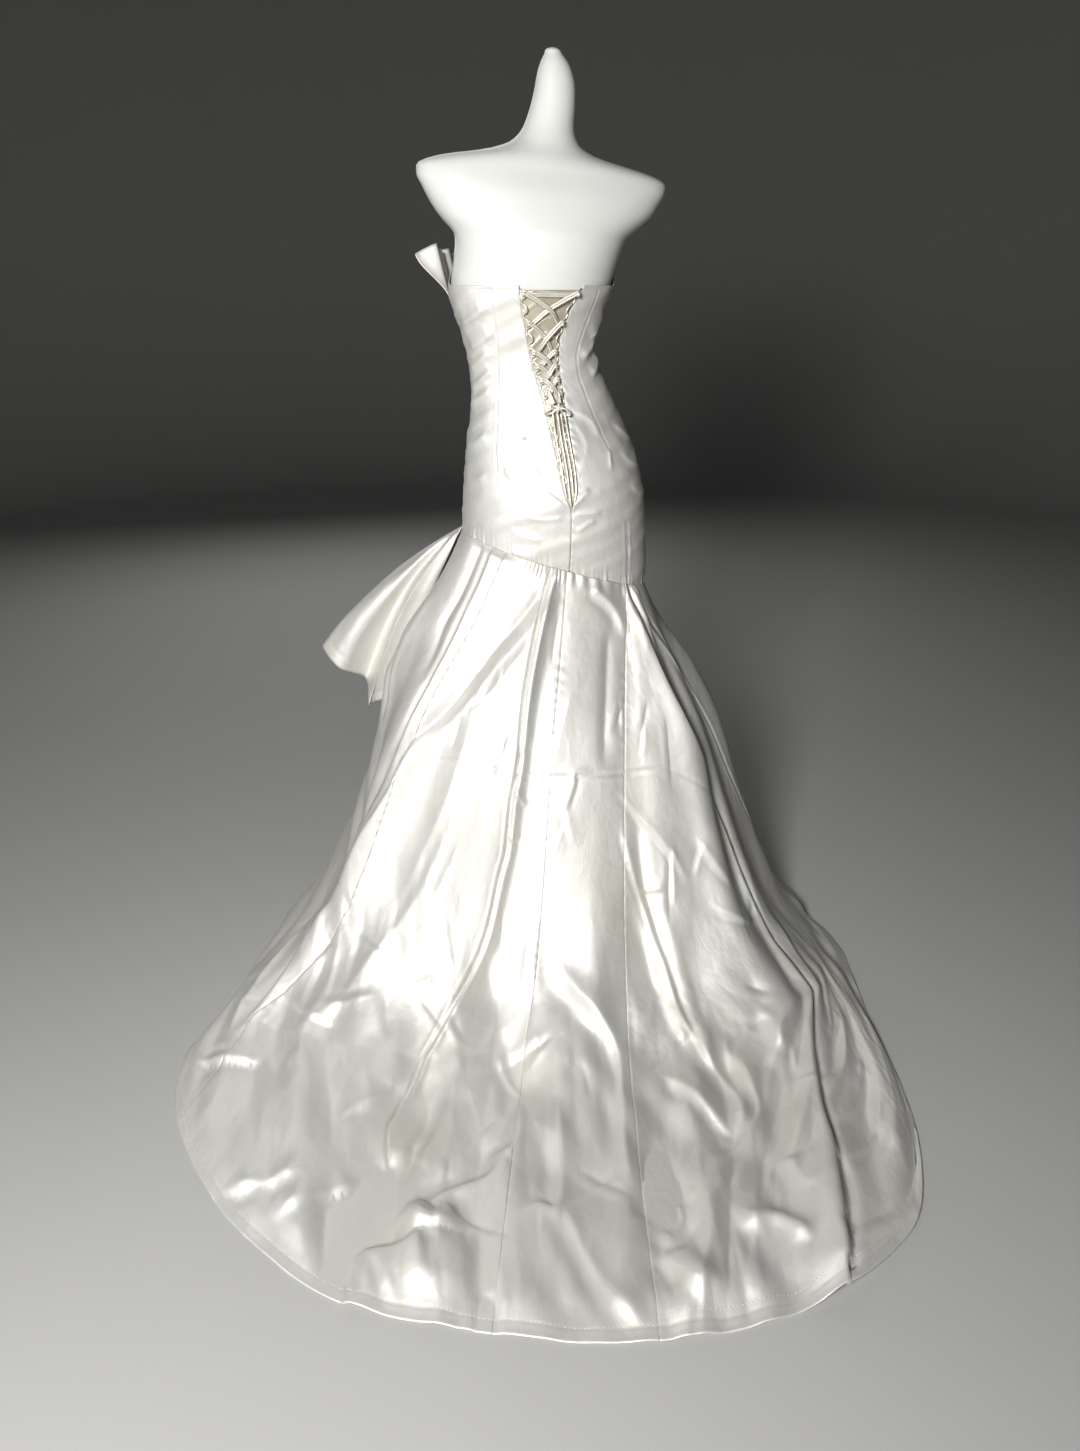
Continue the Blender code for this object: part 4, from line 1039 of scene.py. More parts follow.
@dataclass
class ClothWall:
    """A closed wall of cloth between an inner and an outer grid of points.

    Attributes:
        inner: The inner face, row by row.
        outer: The outer face, row by row.
        inner_step: The inner face keeps each row and column of this number.
    """

    inner: Array
    outer: Array
    inner_step: int = 3

    def build(self, name: str, materials: Sequence[Material]) -> bpy.types.Object:
        """Builds the wall.

        Args:
            name: The piece's name.
            materials: The finish of its outer face, and that of its inner face if it differs.

        Returns:
            The piece.
        """
        across = arc_lengths(self.outer, 1)
        middle = across[:, across.shape[1] // 2][:, None]
        place = np.stack([across - middle, arc_lengths(self.outer, 0)], axis=-1)
        rows, columns = self.outer.shape[:2]
        down, along = self.kept(rows), self.kept(columns)
        inner, inner_place = self.inner[np.ix_(down, along)], place[np.ix_(down, along)]
        start = len(down) * len(along)
        sparse = np.arange(start).reshape(len(down), len(along))
        fine = start + np.arange(rows * columns).reshape(rows, columns)
        inner_faces = grid_quads(len(down), len(along))[:, ::-1]
        quads = np.concatenate([inner_faces, grid_quads(rows, columns, start)])
        faces = [tuple(face) for face in quads.tolist()]
        edges = ((sparse[0], fine[0], along, 1), (sparse[:, -1], fine[:, -1], down, 1))
        edges += ((sparse[-1], fine[-1], along, -1), (sparse[:, 0], fine[:, 0], down, -1))
        for under, over, stops, way in edges:
            for at in range(len(stops) - 1):
                run = list(over[stops[at] : stops[at + 1] + 1])
                face = [under[at], under[at + 1], *run[::-1]]
                faces.append(tuple(int(corner) for corner in face[::way]))
        points = np.concatenate([inner.reshape(-1, 3), self.outer.reshape(-1, 3)])
        places = np.concatenate([inner_place.reshape(-1, 2), place.reshape(-1, 2)])
        mesh = mesh_of(name, points, faces, places)
        piece = add_piece(name, mesh, materials)
        if len(materials) > 1:
            index = np.zeros(len(faces), np.int32)
            index[: len(inner_faces)] = 1
            mesh.polygons.foreach_set("material_index", index)
        return piece

    def kept(self, count: int) -> Array:
        """Returns which rows or columns of this many the inner face keeps."""
        return np.unique(np.append(np.arange(0, count, self.inner_step), count - 1))

    def sew_in(
        self, name: str, finishes: Sequence[Material], slot: str, node: str, held: str, rests_on: str
    ) -> None:
        """Builds the wall, sets it in its node's place and states its cut.

        Args:
            name: The piece's name.
            finishes: The finish of its outer face, and that of its inner face if it differs.
            slot: The slot of its finish; not used.
            node: The node that it stands for.
            held: How the cloth is held; not used.
            rests_on: The piece that it lies against or hangs from; not used.
        """
        piece = set_in_place(self.build(name, finishes), slot, node)

    def stitch_line(self, from_edge: float, rows_run_down: bool) -> Array:
        """Returns a line of stitches on the outer face, this far from its last row."""
        run = arc_lengths(self.outer, 0)
        row = int(np.argmin(np.abs((run[-1:] - run)[:, 0] - from_edge)))
        return self.outer[row] + wall_normals(self.outer, rows_run_down)[row] * STITCH_LIFT


class PathTree(NodeMaker):
    """Geometry Nodes trees that lay cloth tubes and stitches along paths."""

    def __init__(self, name: str, sizes: dict[str, float]) -> None:
        """Starts a tree with these named sizes as inputs."""
        self.tree = bpy.data.node_groups.new(name, "GeometryNodeTree")
        self.tree.interface.new_socket("Geometry", in_out="INPUT", socket_type="NodeSocketGeometry")
        for size, value in sizes.items():
            socket = self.tree.interface.new_socket(size, in_out="INPUT", socket_type="NodeSocketFloat")
            socket.default_value = value
        self.tree.interface.new_socket("Finish", in_out="INPUT", socket_type="NodeSocketMaterial")
        self.tree.interface.new_socket("Geometry", in_out="OUTPUT", socket_type="NodeSocketGeometry")
        self.start = self.tree.nodes.new("NodeGroupInput")
        self.end = self.tree.nodes.new("NodeGroupOutput")

    def finish(self, geometry: Socket) -> None:
        """Ends the tree: instances are realized and wear the finish."""
        real = self.add("GeometryNodeRealizeInstances", Geometry=geometry).outputs["Geometry"]
        smooth = self.add("GeometryNodeSetShadeSmooth", Geometry=real).outputs["Geometry"]
        dressed = self.add("GeometryNodeSetMaterial", Geometry=smooth, Material=self.start.outputs["Finish"])
        self.tree.links.new(dressed.outputs["Geometry"], self.end.inputs["Geometry"])

    def evenly_along(self) -> Socket:
        """Returns the paths as curves whose points are evenly spaced."""
        inputs = self.start.outputs
        line = self.add("GeometryNodeMeshToCurve", Mesh=inputs["Geometry"]).outputs["Curve"]
        spaced = {"Curve": line, "Length": inputs["Spacing"]}
        return self.add("GeometryNodeResampleCurve", {"mode": "LENGTH"}, **spaced).outputs["Curve"]

    @staticmethod
    def tube() -> bpy.types.NodeTree:
        """Returns the tree of a round cord along each path."""
        sheet = PathTree("cloth_tube", {"Radius": 0.0015, "Spacing": 0.002})
        radius = sheet.start.outputs["Radius"]
        ring = sheet.add("GeometryNodeCurvePrimitiveCircle", Resolution=10, Radius=radius).outputs["Curve"]
        body = sheet.add("GeometryNodeCurveToMesh", Curve=sheet.evenly_along(), Profile_Curve=ring)
        body.inputs["Fill Caps"].default_value = True
        sheet.finish(body.outputs["Mesh"])
        return sheet.tree

    @staticmethod
    def stitches() -> bpy.types.NodeTree:
        """Returns the tree of a row of stitches along each path."""
        sheet = PathTree("stitch_row", {"Radius": 0.0002, "Spacing": 0.003, "Length": 0.0020})
        thread = sheet.add(
            "GeometryNodeMeshCylinder",
            Vertices=6,
            Radius=sheet.start.outputs["Radius"],
            Depth=sheet.start.outputs["Length"],
        )
        tangent = sheet.add("GeometryNodeInputTangent").outputs["Tangent"]
        turn = sheet.add("FunctionNodeAlignRotationToVector", {"axis": "Z"}, Vector=tangent)
        rows = sheet.add(
            "GeometryNodeInstanceOnPoints",
            Points=sheet.evenly_along(),
            Instance=thread.outputs["Mesh"],
            Rotation=turn.outputs["Rotation"],
        )
        sheet.finish(rows.outputs["Instances"])
        return sheet.tree


def lay_along(
    name: str, paths: Sequence[Array], tree: bpy.types.NodeTree, finish: Material, sizes: dict[str, float]
) -> bpy.types.Object:
    """Runs a path tree over paths and keeps the result as a plain mesh.

    Args:
        name: The piece's name.
        paths: Each path's points.
        tree: The tree.
        finish: The material.
        sizes: The tree's sizes by name.

    Returns:
        The piece.
    """
    points, edges = [], []
    for path in paths:
        edges += [(len(points) + at, len(points) + at + 1) for at in range(len(path) - 1)]
        points += [tuple(point) for point in path]
    mesh = bpy.data.meshes.new(name + "_paths")
    mesh.from_pydata(points, edges, [])
    carrier = bpy.data.objects.new(name + "_paths", mesh)
    bpy.context.scene.collection.objects.link(carrier)
    modifier = carrier.modifiers.new("paths", "NODES")
    modifier.node_group = tree
    sockets = {item.name: item.identifier for item in tree.interface.items_tree if item.in_out == "INPUT"}
    for size, value in sizes.items():
        modifier[sockets[size]] = value
    modifier[sockets["Finish"]] = finish
    graph = bpy.context.evaluated_depsgraph_get()
    result = bpy.data.meshes.new_from_object(carrier.evaluated_get(graph))
    result.name = name
    bpy.data.objects.remove(carrier)
    bpy.data.meshes.remove(mesh)
    return add_piece(name, result, [])


def set_in_place(piece: bpy.types.Object, slot: str, *nodes: str) -> bpy.types.Object:
    """Makes a piece ride on the body and hides the nodes that it stands for."""
    if nodes:
        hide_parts(*nodes)
    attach(piece, ROOT)
    LOG.info("%s: %d faces", piece.name, len(piece.data.polygons))
    return piece


@dataclass(frozen=True)
class SoftLight:
    """A square soft light that faces the gown.

    Attributes:
        name: Its name.
        place: Where it stands.
        size: Length of its sides.
        power: Its power in watts.
        colour: Its colour.
    """

    name: str
    place: tuple[float, float, float]
    size: float
    power: float
    colour: tuple[float, float, float] = (1.0, 0.99, 0.97)

    def add(self, lit: Vector) -> None:
        """Adds the light, turned to the place that it lights."""
        data = bpy.data.lights.new(self.name, "AREA")
        data.energy = self.power
        data.size = self.size
        data.color = self.colour
        light = bpy.data.objects.new(self.name, data)
        light.location = self.place
        light.rotation_euler = (lit - Vector(self.place)).to_track_quat("-Z", "Y").to_euler()
        bpy.context.scene.collection.objects.link(light)


@dataclass
class Studio:
    """The camera, the lights, the floor and the backdrop.

    Attributes:
        azimuth: The camera's bearing.
        pitch: How far it looks down, in degrees.
        distance: Its distance over the floor from the origin.
        height: Its height.
        lens: Focal length in millimetres.
        frame_height: Height of the frame in millimetres.
        lights: The key light behind the gown at the wearer's left, a faint one opposite and one in front.
        lit_place: The place that they light.
        surround_colour: Colour of the surround.
        surround_strength: Its strength.
        gamma: Gamma of the view, for strong contrast.
        floor_radius: Radius of the flat floor.
        bend_radius: Radius of the bend up into the backdrop.
        backdrop_height: Height of the backdrop.
        sides: Number of its sides.
    """

    azimuth: float = 172.5
    pitch: float = 22.80
    distance: float = 1.88
    height: float = 1.20
    lens: float = 26.0
    frame_height: float = 36.0
    lights: tuple[SoftLight, ...] = (
        SoftLight("key", (1.00, 2.50, 1.72), 0.6, 90.0),
        SoftLight("fill", (-2.6, 1.6, 1.5), 2.2, 0.5, (1.0, 0.97, 0.93)),
        SoftLight("front", (0.4, -3.0, 2.3), 2.4, 32.0),
    )
    lit_place: tuple[float, float, float] = (0.0, 0.15, 0.6)
    surround_colour: Colour = (0.93, 0.96, 1.0, 1.0)
    surround_strength: float = 0.02
    gamma: float = 0.78
    floor_radius: float = 5.0
    bend_radius: float = 1.5
    backdrop_height: float = 5.0
    sides: int = 64

    def add_camera(self) -> None:
        """Adds the camera at the viewing angle of the photograph."""
        turn, down = math.radians(self.azimuth), math.radians(self.pitch)
        ahead = Vector((-math.sin(turn), math.cos(turn), 0.0))
        data = bpy.data.cameras.new("camera")
        data.lens = self.lens
        data.sensor_width = self.frame_height
        camera = bpy.data.objects.new("camera", data)
        camera.location = -ahead * self.distance + Vector((0.0, 0.0, self.height))
        look = ahead * math.cos(down) - Vector((0.0, 0.0, math.sin(down)))
        camera.rotation_euler = look.to_track_quat("-Z", "Y").to_euler()
        bpy.context.scene.collection.objects.link(camera)
        bpy.context.scene.camera = camera

    def add_lights(self) -> None:
        """Adds the lights and a faint surround."""
        for light in self.lights:
            light.add(Vector(self.lit_place))
        world = bpy.data.worlds.new("surround")
        world.use_nodes = True
        background = world.node_tree.nodes["Background"]
        background.inputs["Color"].default_value = self.surround_colour
        background.inputs["Strength"].default_value = self.surround_strength
        bpy.context.scene.world = world
        bpy.context.scene.view_settings.view_transform = "Standard"
        bpy.context.scene.view_settings.gamma = self.gamma

    def add_floor(self, finish: Material) -> None:
        """Adds the floor, which turns up into a wide round backdrop."""
        bend = np.linspace(0.1, np.pi / 2, 10)
        flat = [0.02, *np.linspace(1.0, self.floor_radius, 9)]
        bent = self.floor_radius + self.bend_radius * np.sin(bend)
        rising = self.bend_radius - self.bend_radius * np.cos(bend)
        radii = np.concatenate([flat, bent, [self.floor_radius + self.bend_radius]])[:, None]
        heights = np.concatenate([np.zeros(len(flat)), rising, [self.backdrop_height]])[:, None]
        turn = np.linspace(0.0, 2 * np.pi, self.sides, endpoint=False)[None, :]
        x, y = radii * np.sin(turn), radii * np.cos(turn)
        points = np.stack([x, y, np.broadcast_to(heights, x.shape)], axis=-1)
        add_piece("floor", ring_mesh("floor", points, False), [finish])


@dataclass
class Lacing:
    """The laced cord, its loops, its knot and its hanging tails.

    Attributes:
        body: The surface that they lie on.
        loop_count: Loops on each edge.
        first_height: Height of the top loop.
        last_height: Height of the lowest loop.
        loop_width: Height of one loop along the edge.
        loop_reach: How far a loop stands into the opening.
        tube_radius: Half a loop's thickness.
        edge_lift: Distance of a loop's ends outside the form.
        tip_lift: Distance of a laced loop's tip.
        flat_lift: Distance of the tip of a loop that is not laced.
        cord_radius: Half the laced cord's thickness.
        twin_offset: Half the distance between the two edges of the folded cord.
        crossing_rise: How far the middle of a crossing stands out.
        wrap_turns: Turns round a loop's tip at which the cord's points lie, in degrees.
        wrap_pitch: How far the cord moves along the edge as it goes round.
        laced: The loops that the cord goes through.
        bar_points: Points on each half of the cord's straight top bar.
        bar_end_gap: Gap between the bar's right end and the other strand's turn.
        strand_ends: Share across the opening at which each strand meets the knot, by its last side.
        strand_end_gap: Gap between a strand's end and the knot.
        knot_height: Height of the knot.
        knot_size: Half the knot's width, depth and height.
        knot_rings: Tilt and size of each ring wound round the knot.
        ring_spacing: Height between a ring's two turns.
        knot_bows: Side, drop and reach of each small bow.
        tail_radius: Half a tail's thickness.
        tail_points: Points along a tail.
        tail_start_gap: Gap between the knot and a tail.
        tail_settle: Share of a tail's length in which it comes to lie on the bodice.
        tails: Share across the opening at the top and at the end, and height of the end.
    """

    body: BodyShape
    loop_count: int = 14
    first_height: float = 1.188
    last_height: float = 0.900
    loop_width: float = 0.0150
    loop_reach: float = 0.0070
    tube_radius: float = 0.0012
    edge_lift: float = BODICE_LIFT + 0.0020
    tip_lift: float = BODICE_LIFT + 0.0064
    flat_lift: float = BODICE_LIFT + 0.0024
    cord_radius: float = 0.0017
    twin_offset: float = 0.0019
    crossing_rise: float = 0.0018
    wrap_turns: tuple[float, ...] = (-120.0, -60.0, 0.0, 60.0, 120.0)
    wrap_pitch: float = 0.0015
    laced: tuple[int, ...] = (0, 2, 4, 5, 6, 7)
    bar_points: int = 4
    bar_end_gap: float = 0.0012
    strand_ends: dict[int, float] = field(default_factory=lambda: {1: 0.35, -1: 0.65})
    strand_end_gap: float = 0.0012
    knot_height: float = 1.008
    knot_size: tuple[float, float, float] = (0.0115, 0.0055, 0.0075)
    knot_rings: tuple[Place, ...] = ((0.25, 0.72), (-0.35, 0.62), (1.35, 0.60))
    ring_spacing: float = 0.0026
    knot_bows: tuple[tuple[int, float, float], ...] = ((-1, -0.006, 0.019), (1, -0.009, 0.016))
    tail_radius: float = 0.0015
    tail_points: int = 26
    tail_start_gap: float = 0.0006
    tail_settle: float = 0.3
    tails: dict[str, tuple[float, float, float]] = field(
        default_factory=lambda: {
            "a": (0.22, 0.05, 0.872),
            "b": (0.42, 0.38, 0.858),
            "c": (0.58, 0.70, 0.880),
            "d": (0.78, 1.02, 0.866),
        }
    )

    @property
    def knot_lift(self) -> float:
        """Returns the distance of the knot's middle outside the form."""
        return self.tip_lift + self.tube_radius + self.knot_size[1] + SEAM_GAP

    def heights(self) -> Array:
        """Returns the loops' heights."""
        return np.linspace(self.first_height, self.last_height, self.loop_count)

    def knot_half_height(self, share: float) -> float:
        """Returns half the knot's height over the near side of a cord at this share across the opening."""
        left, right = (self.body.across_opening(end, self.knot_height, self.knot_lift) for end in (0.0, 1.0))
        width = np.linalg.norm(right - left)
        aside = max(0.0, abs(share - 0.5) * width - self.cord_radius) / self.knot_size[0]
        return self.knot_size[2] * math.sqrt(1 - aside * aside)

    def tail_route(self, label: str) -> Array:
        """Returns the points that a hanging tail follows."""
        at_top, at_end, end = self.tails[label]
        start = self.knot_height - self.knot_half_height(at_top) - self.tail_start_gap
        down = np.linspace(0.0, 1.0, self.tail_points)
        lift = self.flat_lift + self.tube_radius + self.tail_radius + 2 * SEAM_GAP
        lift = lift + (self.knot_lift - lift) * (1 - ease(down / self.tail_settle))
        share = at_top + (at_end - at_top) * down
        return self.body.across_opening(share, start + (end - start) * down, lift)

    def strand_routes(self) -> list[Array]:
        """Returns the routes of the two crossing strands, from the top loops down to the knot."""
        wrap = self.tube_radius + self.cord_radius + 4 * SEAM_GAP
        heights = self.heights()[list(self.laced)]
        reach = self.tube_radius + SEAM_GAP + self.loop_reach
        turns = np.radians(self.wrap_turns)
        under_inset = reach - wrap * math.cos(turns[0])
        under_lift = self.tip_lift + wrap * math.sin(turns[0])
        bar_height = heights[0] - self.wrap_pitch
        edges = [self.body.beside_edge(bar_height, side, 0.0, under_lift) for side in (1, -1)]
        half = np.linalg.norm(edges[0] - edges[1]) / 2
        near = np.linspace(under_inset + self.bar_end_gap, half, self.bar_points)
        far = np.linspace(half, under_inset, self.bar_points)
        bar = [self.body.beside_edge(bar_height, -1, stop, under_lift) for stop in near[:-1]]
        bar += [self.body.beside_edge(bar_height, 1, stop, under_lift) for stop in far[1:-1]]
        routes = []
        for start_side in (1, -1):
            points, side = (list(bar) if start_side == 1 else []), start_side
            for order, height in enumerate(heights):
                for step, turn in enumerate(turns):
                    shift = (step / 2 - 1) * self.wrap_pitch
                    inset, lift = reach - wrap * math.cos(turn), self.tip_lift + wrap * math.sin(turn)
                    points.append(self.body.beside_edge(height + shift, side, inset, lift))
                if order < len(heights) - 1:
                    middle = (height + heights[order + 1]) / 2
                    over = 1 if start_side == 1 else -1
                    lift = self.tip_lift + self.crossing_rise + (self.cord_radius + SEAM_GAP) * over
                    points.append(self.body.across_opening(0.5, middle, lift))
                    side = -side
            end = self.strand_ends[side]
            end_height = self.knot_height + self.knot_half_height(end) + self.strand_end_gap
            points.append(self.body.across_opening(end, end_height, self.knot_lift))
            routes.append(np.array(points))
        return routes

    def twins(self, route: Array) -> list[Array]:
        """Gives the two rounded edges of a folded satin cord.

        Args:
            route: The cord's centreline.

        Returns:
            One path for each edge.
        """
        fine = smooth_path(route, 6)
        tangent = normalised(np.gradient(fine, axis=0))
        up = np.array([0.0, 0.0, 1.0])
        side = normalised(up - (tangent @ up)[:, None] * tangent)
        return [fine + side * self.twin_offset, fine - side * self.twin_offset]

    def add_tails(self, tube: bpy.types.NodeTree, finish: Material) -> None:
        """Adds the tails that hang from the knot, each a free cord."""
        for label in self.tails:
            route = self.tail_route(label)
            sizes = {"Radius": self.tail_radius, "Spacing": 0.003}
            piece = lay_along("tail_" + label, [route], tube, finish, sizes)
            set_in_place(piece, "ivory_satin", "lace_tail_" + label)

    def add_strands(self, tube: bpy.types.NodeTree, finish: Material) -> None:
        """Adds the two crossing strands, each a folded satin cord with two rounded edges."""
        for label, route in zip("ab", self.strand_routes()):
            sizes = {"Radius": self.cord_radius + 0.0003, "Spacing": 0.0015}
            piece = lay_along("laced_strand_" + label, self.twins(route), tube, finish, sizes)
            set_in_place(piece, "ivory_satin", "lace_cord_" + label)

    def add_loops(self, tube: bpy.types.NodeTree, finish: Material) -> None:
        """Adds the scalloped row of narrow loops along each edge."""
        for side, label in ((1, "left"), (-1, "right")):
            route = []
            for height in self.heights():
                tip = self.tip_lift if height > self.knot_height else self.flat_lift
                for turn in np.linspace(0.0, np.pi, 12):
                    out = self.tube_radius + SEAM_GAP + self.loop_reach * math.sin(turn)
                    lift = self.edge_lift + (tip - self.edge_lift) * math.sin(turn)
                    along = height + math.cos(turn) * self.loop_width / 2
                    route.append(self.body.beside_edge(along, side, out, lift))
            sizes = {"Radius": self.tube_radius + 0.0003, "Spacing": 0.0012}
            piece = lay_along("edge_loops_" + label, [np.array(route)], tube, finish, sizes)
            set_in_place(piece, "ivory_satin", "lacing_loops_" + label)

    def add_knot(self, tube: bpy.types.NodeTree, finish: Material) -> None:
        """Adds the knot and its small bow, wound from the same cord."""
        middle = self.body.across_opening(0.5, self.knot_height, self.knot_lift)
        right = normalised(self.body.across_opening(0.6, self.knot_height, self.knot_lift) - middle)
        up = np.array([0.0, 0.0, 1.0])
        out = np.cross(up, right) * -1.0
        out = out if out[1] > 0 else -out
        wide, deep = self.knot_size[:2]
        turn = np.linspace(0.0, 2 * np.pi, 25)[:, None]
        routes = []
        for tilt, grow in self.knot_rings:
            ring_a = right * math.cos(tilt) + up * math.sin(tilt)
            routes.append(middle + grow * (wide * np.cos(turn) * ring_a + deep * np.sin(turn) * out))
            routes.append(routes[-1] + up * self.ring_spacing)
        for side, drop, reach in self.knot_bows:
            bow = np.linspace(0.0, 2 * np.pi, 22)[:, None]
            swing = (1 - np.cos(bow)) / 2
            routes.append(
                middle
                + side * right * (0.004 + reach * swing)
                + up * (drop * swing + 0.0042 * np.sin(bow))
                + out * (0.003 + 0.003 * np.sin(bow))
            )
        sizes = {"Radius": self.cord_radius, "Spacing": 0.0012}
        set_in_place(lay_along("bow_knot", routes, tube, finish, sizes), "ivory_satin", "lace_knot")


@dataclass
class DressForm:
    """The form's torso and neck over its stand.

    Attributes:
        body: The surface that the gown is cut for.
        shell_cup: Share of the cups' rise that the form's own chest has.
        bottom: Height of its lower edge.
        columns: Points round a section.
        rows: Sections.
    """

    body: BodyShape
    shell_cup: float = 0.5
    bottom: float = 0.600
    columns: int = 128
    rows: int = 170

    def add_torso(self, finish: Material) -> None:
        """Adds the torso and neck as one smooth shell, rounded over at the top."""
        heights = np.linspace(self.bottom, FORM_SECTIONS[-1, 0], self.rows)
        angles = np.arange(self.columns) * 360.0 / self.columns
        rings = self.body.surface(angles[None, :], heights[:, None], self.shell_cup)
        turn = np.linspace(0.15, 0.98, 7) * np.pi / 2
        last, tip = rings[-1], np.array(NECK_TIP)
        centre = last.mean(axis=0)
        cap = [centre + (last - centre) * math.cos(t) + (tip - centre) * math.sin(t) for t in turn]
        mesh = ring_mesh("torso_shell", np.concatenate([rings, np.array(cap)]), True)
        set_in_place(add_piece("torso_shell", mesh, [finish]), "white_gloss_shell", "form_torso")

    def dress_stand(self, shell: Material, steel: Material) -> None:
        """Gives the pole and the base their finishes."""
        for node, finish in (("form_pole", steel), ("form_base", shell)):
            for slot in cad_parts[node].material_slots:
                slot.material = finish
            LOG.info("%s: finished", node)


def crease_of(kind: CreaseKind, width: float, height: float, *path: float, **shape: object) -> Crease:
    """Returns a crease of this kind whose path is given as pairs of numbers, one after the other."""
    return Crease(kind, tuple(zip(path[::2], path[1::2])), width, height, **shape)


ridge, trough, groove, edge_fold, crumple = (partial(crease_of, kind) for kind in CreaseKind)

# Creases of the bodice: places are angles and heights
BODICE_CREASES = (
    groove(0.0018, 0.0008, 30.5, 1.193, 32, 1.115, 40, 1.036, 43, 0.971, 41.5, 0.894, fades=(0, 0.1)),
    groove(0.0018, 0.0005, -48, 1.2, -48, 1.159, -39, 1.103, -34, 1.071, -32, 1.02, -34, 0.974, -37, 0.933,
        fades=(0, 0.1)),
    ridge(0.004, 0.0024, -36.5, 0.945, -33, 0.91),
    crumple(0.0065, 0.0042, -41, 1.085, -58, 1.103, -75, 1.135),
    crumple(0.0065, 0.0042, -48, 1.058, -65, 1.072, -82, 1.092),
    crumple(0.0065, 0.0042, -55, 1.118, -70, 1.135, -84, 1.16),
    crumple(0.0065, 0.0042, 75, 1.14, 47.5, 1.155, 32, 1.172),
    crumple(0.0065, 0.0042, 71, 1.102, 46.5, 1.117, 31.5, 1.133),
    crumple(0.0065, 0.0042, 78, 1.066, 53, 1.087, 36.5, 1.102),
    crumple(0.0065, 0.0042, 83.5, 1.033, 53.5, 1.06, 36.5, 1.077),
    crumple(0.0065, 0.0042, 88, 1.008, 62, 1.026, 42, 1.04),
    ridge(0.0045, 0.0028, -2, 0.85, -8, 0.867, -16, 0.886),
    ridge(0.0045, 0.0026, -3, 0.843, -12, 0.844, -23, 0.846),
    ridge(0.0050, 0.0022, -5, 0.812, -12, 0.825, -19, 0.835),
    ridge(0.0045, 0.0024, -2, 0.853, 5, 0.871, 13, 0.888),
    ridge(0.0045, 0.0022, -1, 0.84, 9, 0.836, 20, 0.838),
    crumple(0.0050, 0.0007, -8, 0.995, -15, 0.986, -19, 0.952, -11, 0.914, -4, 0.884),
    crumple(0.0065, 0.0014, -14, 1.009, -28, 0.992, -31, 0.959),
    ridge(0.0045, 0.0022, 21, 0.965, 17, 0.95),
    ridge(0.0045, 0.0024, 36, 0.917, 29, 0.897),
    ridge(0.0045, 0.0020, 15.5, 0.917, 11.5, 0.902),
    groove(0.0030, 0.0015, -42.5, 0.83, -43, 0.756, -42.5, 0.7, fades=(0.1, 0)),
    crumple(0.0060, 0.0030, 34, 0.783, 25, 0.776, 19, 0.771, 12, 0.764),
    crumple(0.0060, 0.0020, 10, 0.8, 22, 0.808, 33, 0.822),
    crumple(0.0065, 0.0028, -50, 0.985, -65, 0.96, -80, 0.95),
    crumple(0.0065, 0.0024, -46, 0.94, -60, 0.915, -78, 0.905),
    crumple(0.0065, 0.0022, -48, 0.885, -62, 0.868, -80, 0.864),
    crumple(0.0065, 0.0026, 52, 0.975, 66, 0.955, 86, 0.948),
    crumple(0.0065, 0.0020, 50, 0.905, 66, 0.892, 84, 0.896),
    crumple(0.0060, 0.0026, 98, 1.092, 118, 1.085, 140, 1.094),
    crumple(0.0065, 0.0028, 104, 1.06, 128, 1.052, 148, 1.06),
    crumple(0.0060, 0.0026, -94, 1.088, -116, 1.08, -140, 1.09),
    crumple(0.0065, 0.0028, -100, 1.055, -126, 1.048, -147, 1.058),
    crumple(0.0065, 0.0028, 158, 1.075, 178, 1.066, 199, 1.076),
    crumple(0.0070, 0.0022, 160, 1.04, 181, 1.033, 202, 1.042),
    crumple(0.0075, 0.0022, 104, 0.94, 124, 0.918, 146, 0.905),
    crumple(0.0075, 0.0022, -100, 0.93, -120, 0.905, -143, 0.896),
    crumple(0.0080, 0.0020, 158, 0.86, 176, 0.846, 198, 0.842),
)

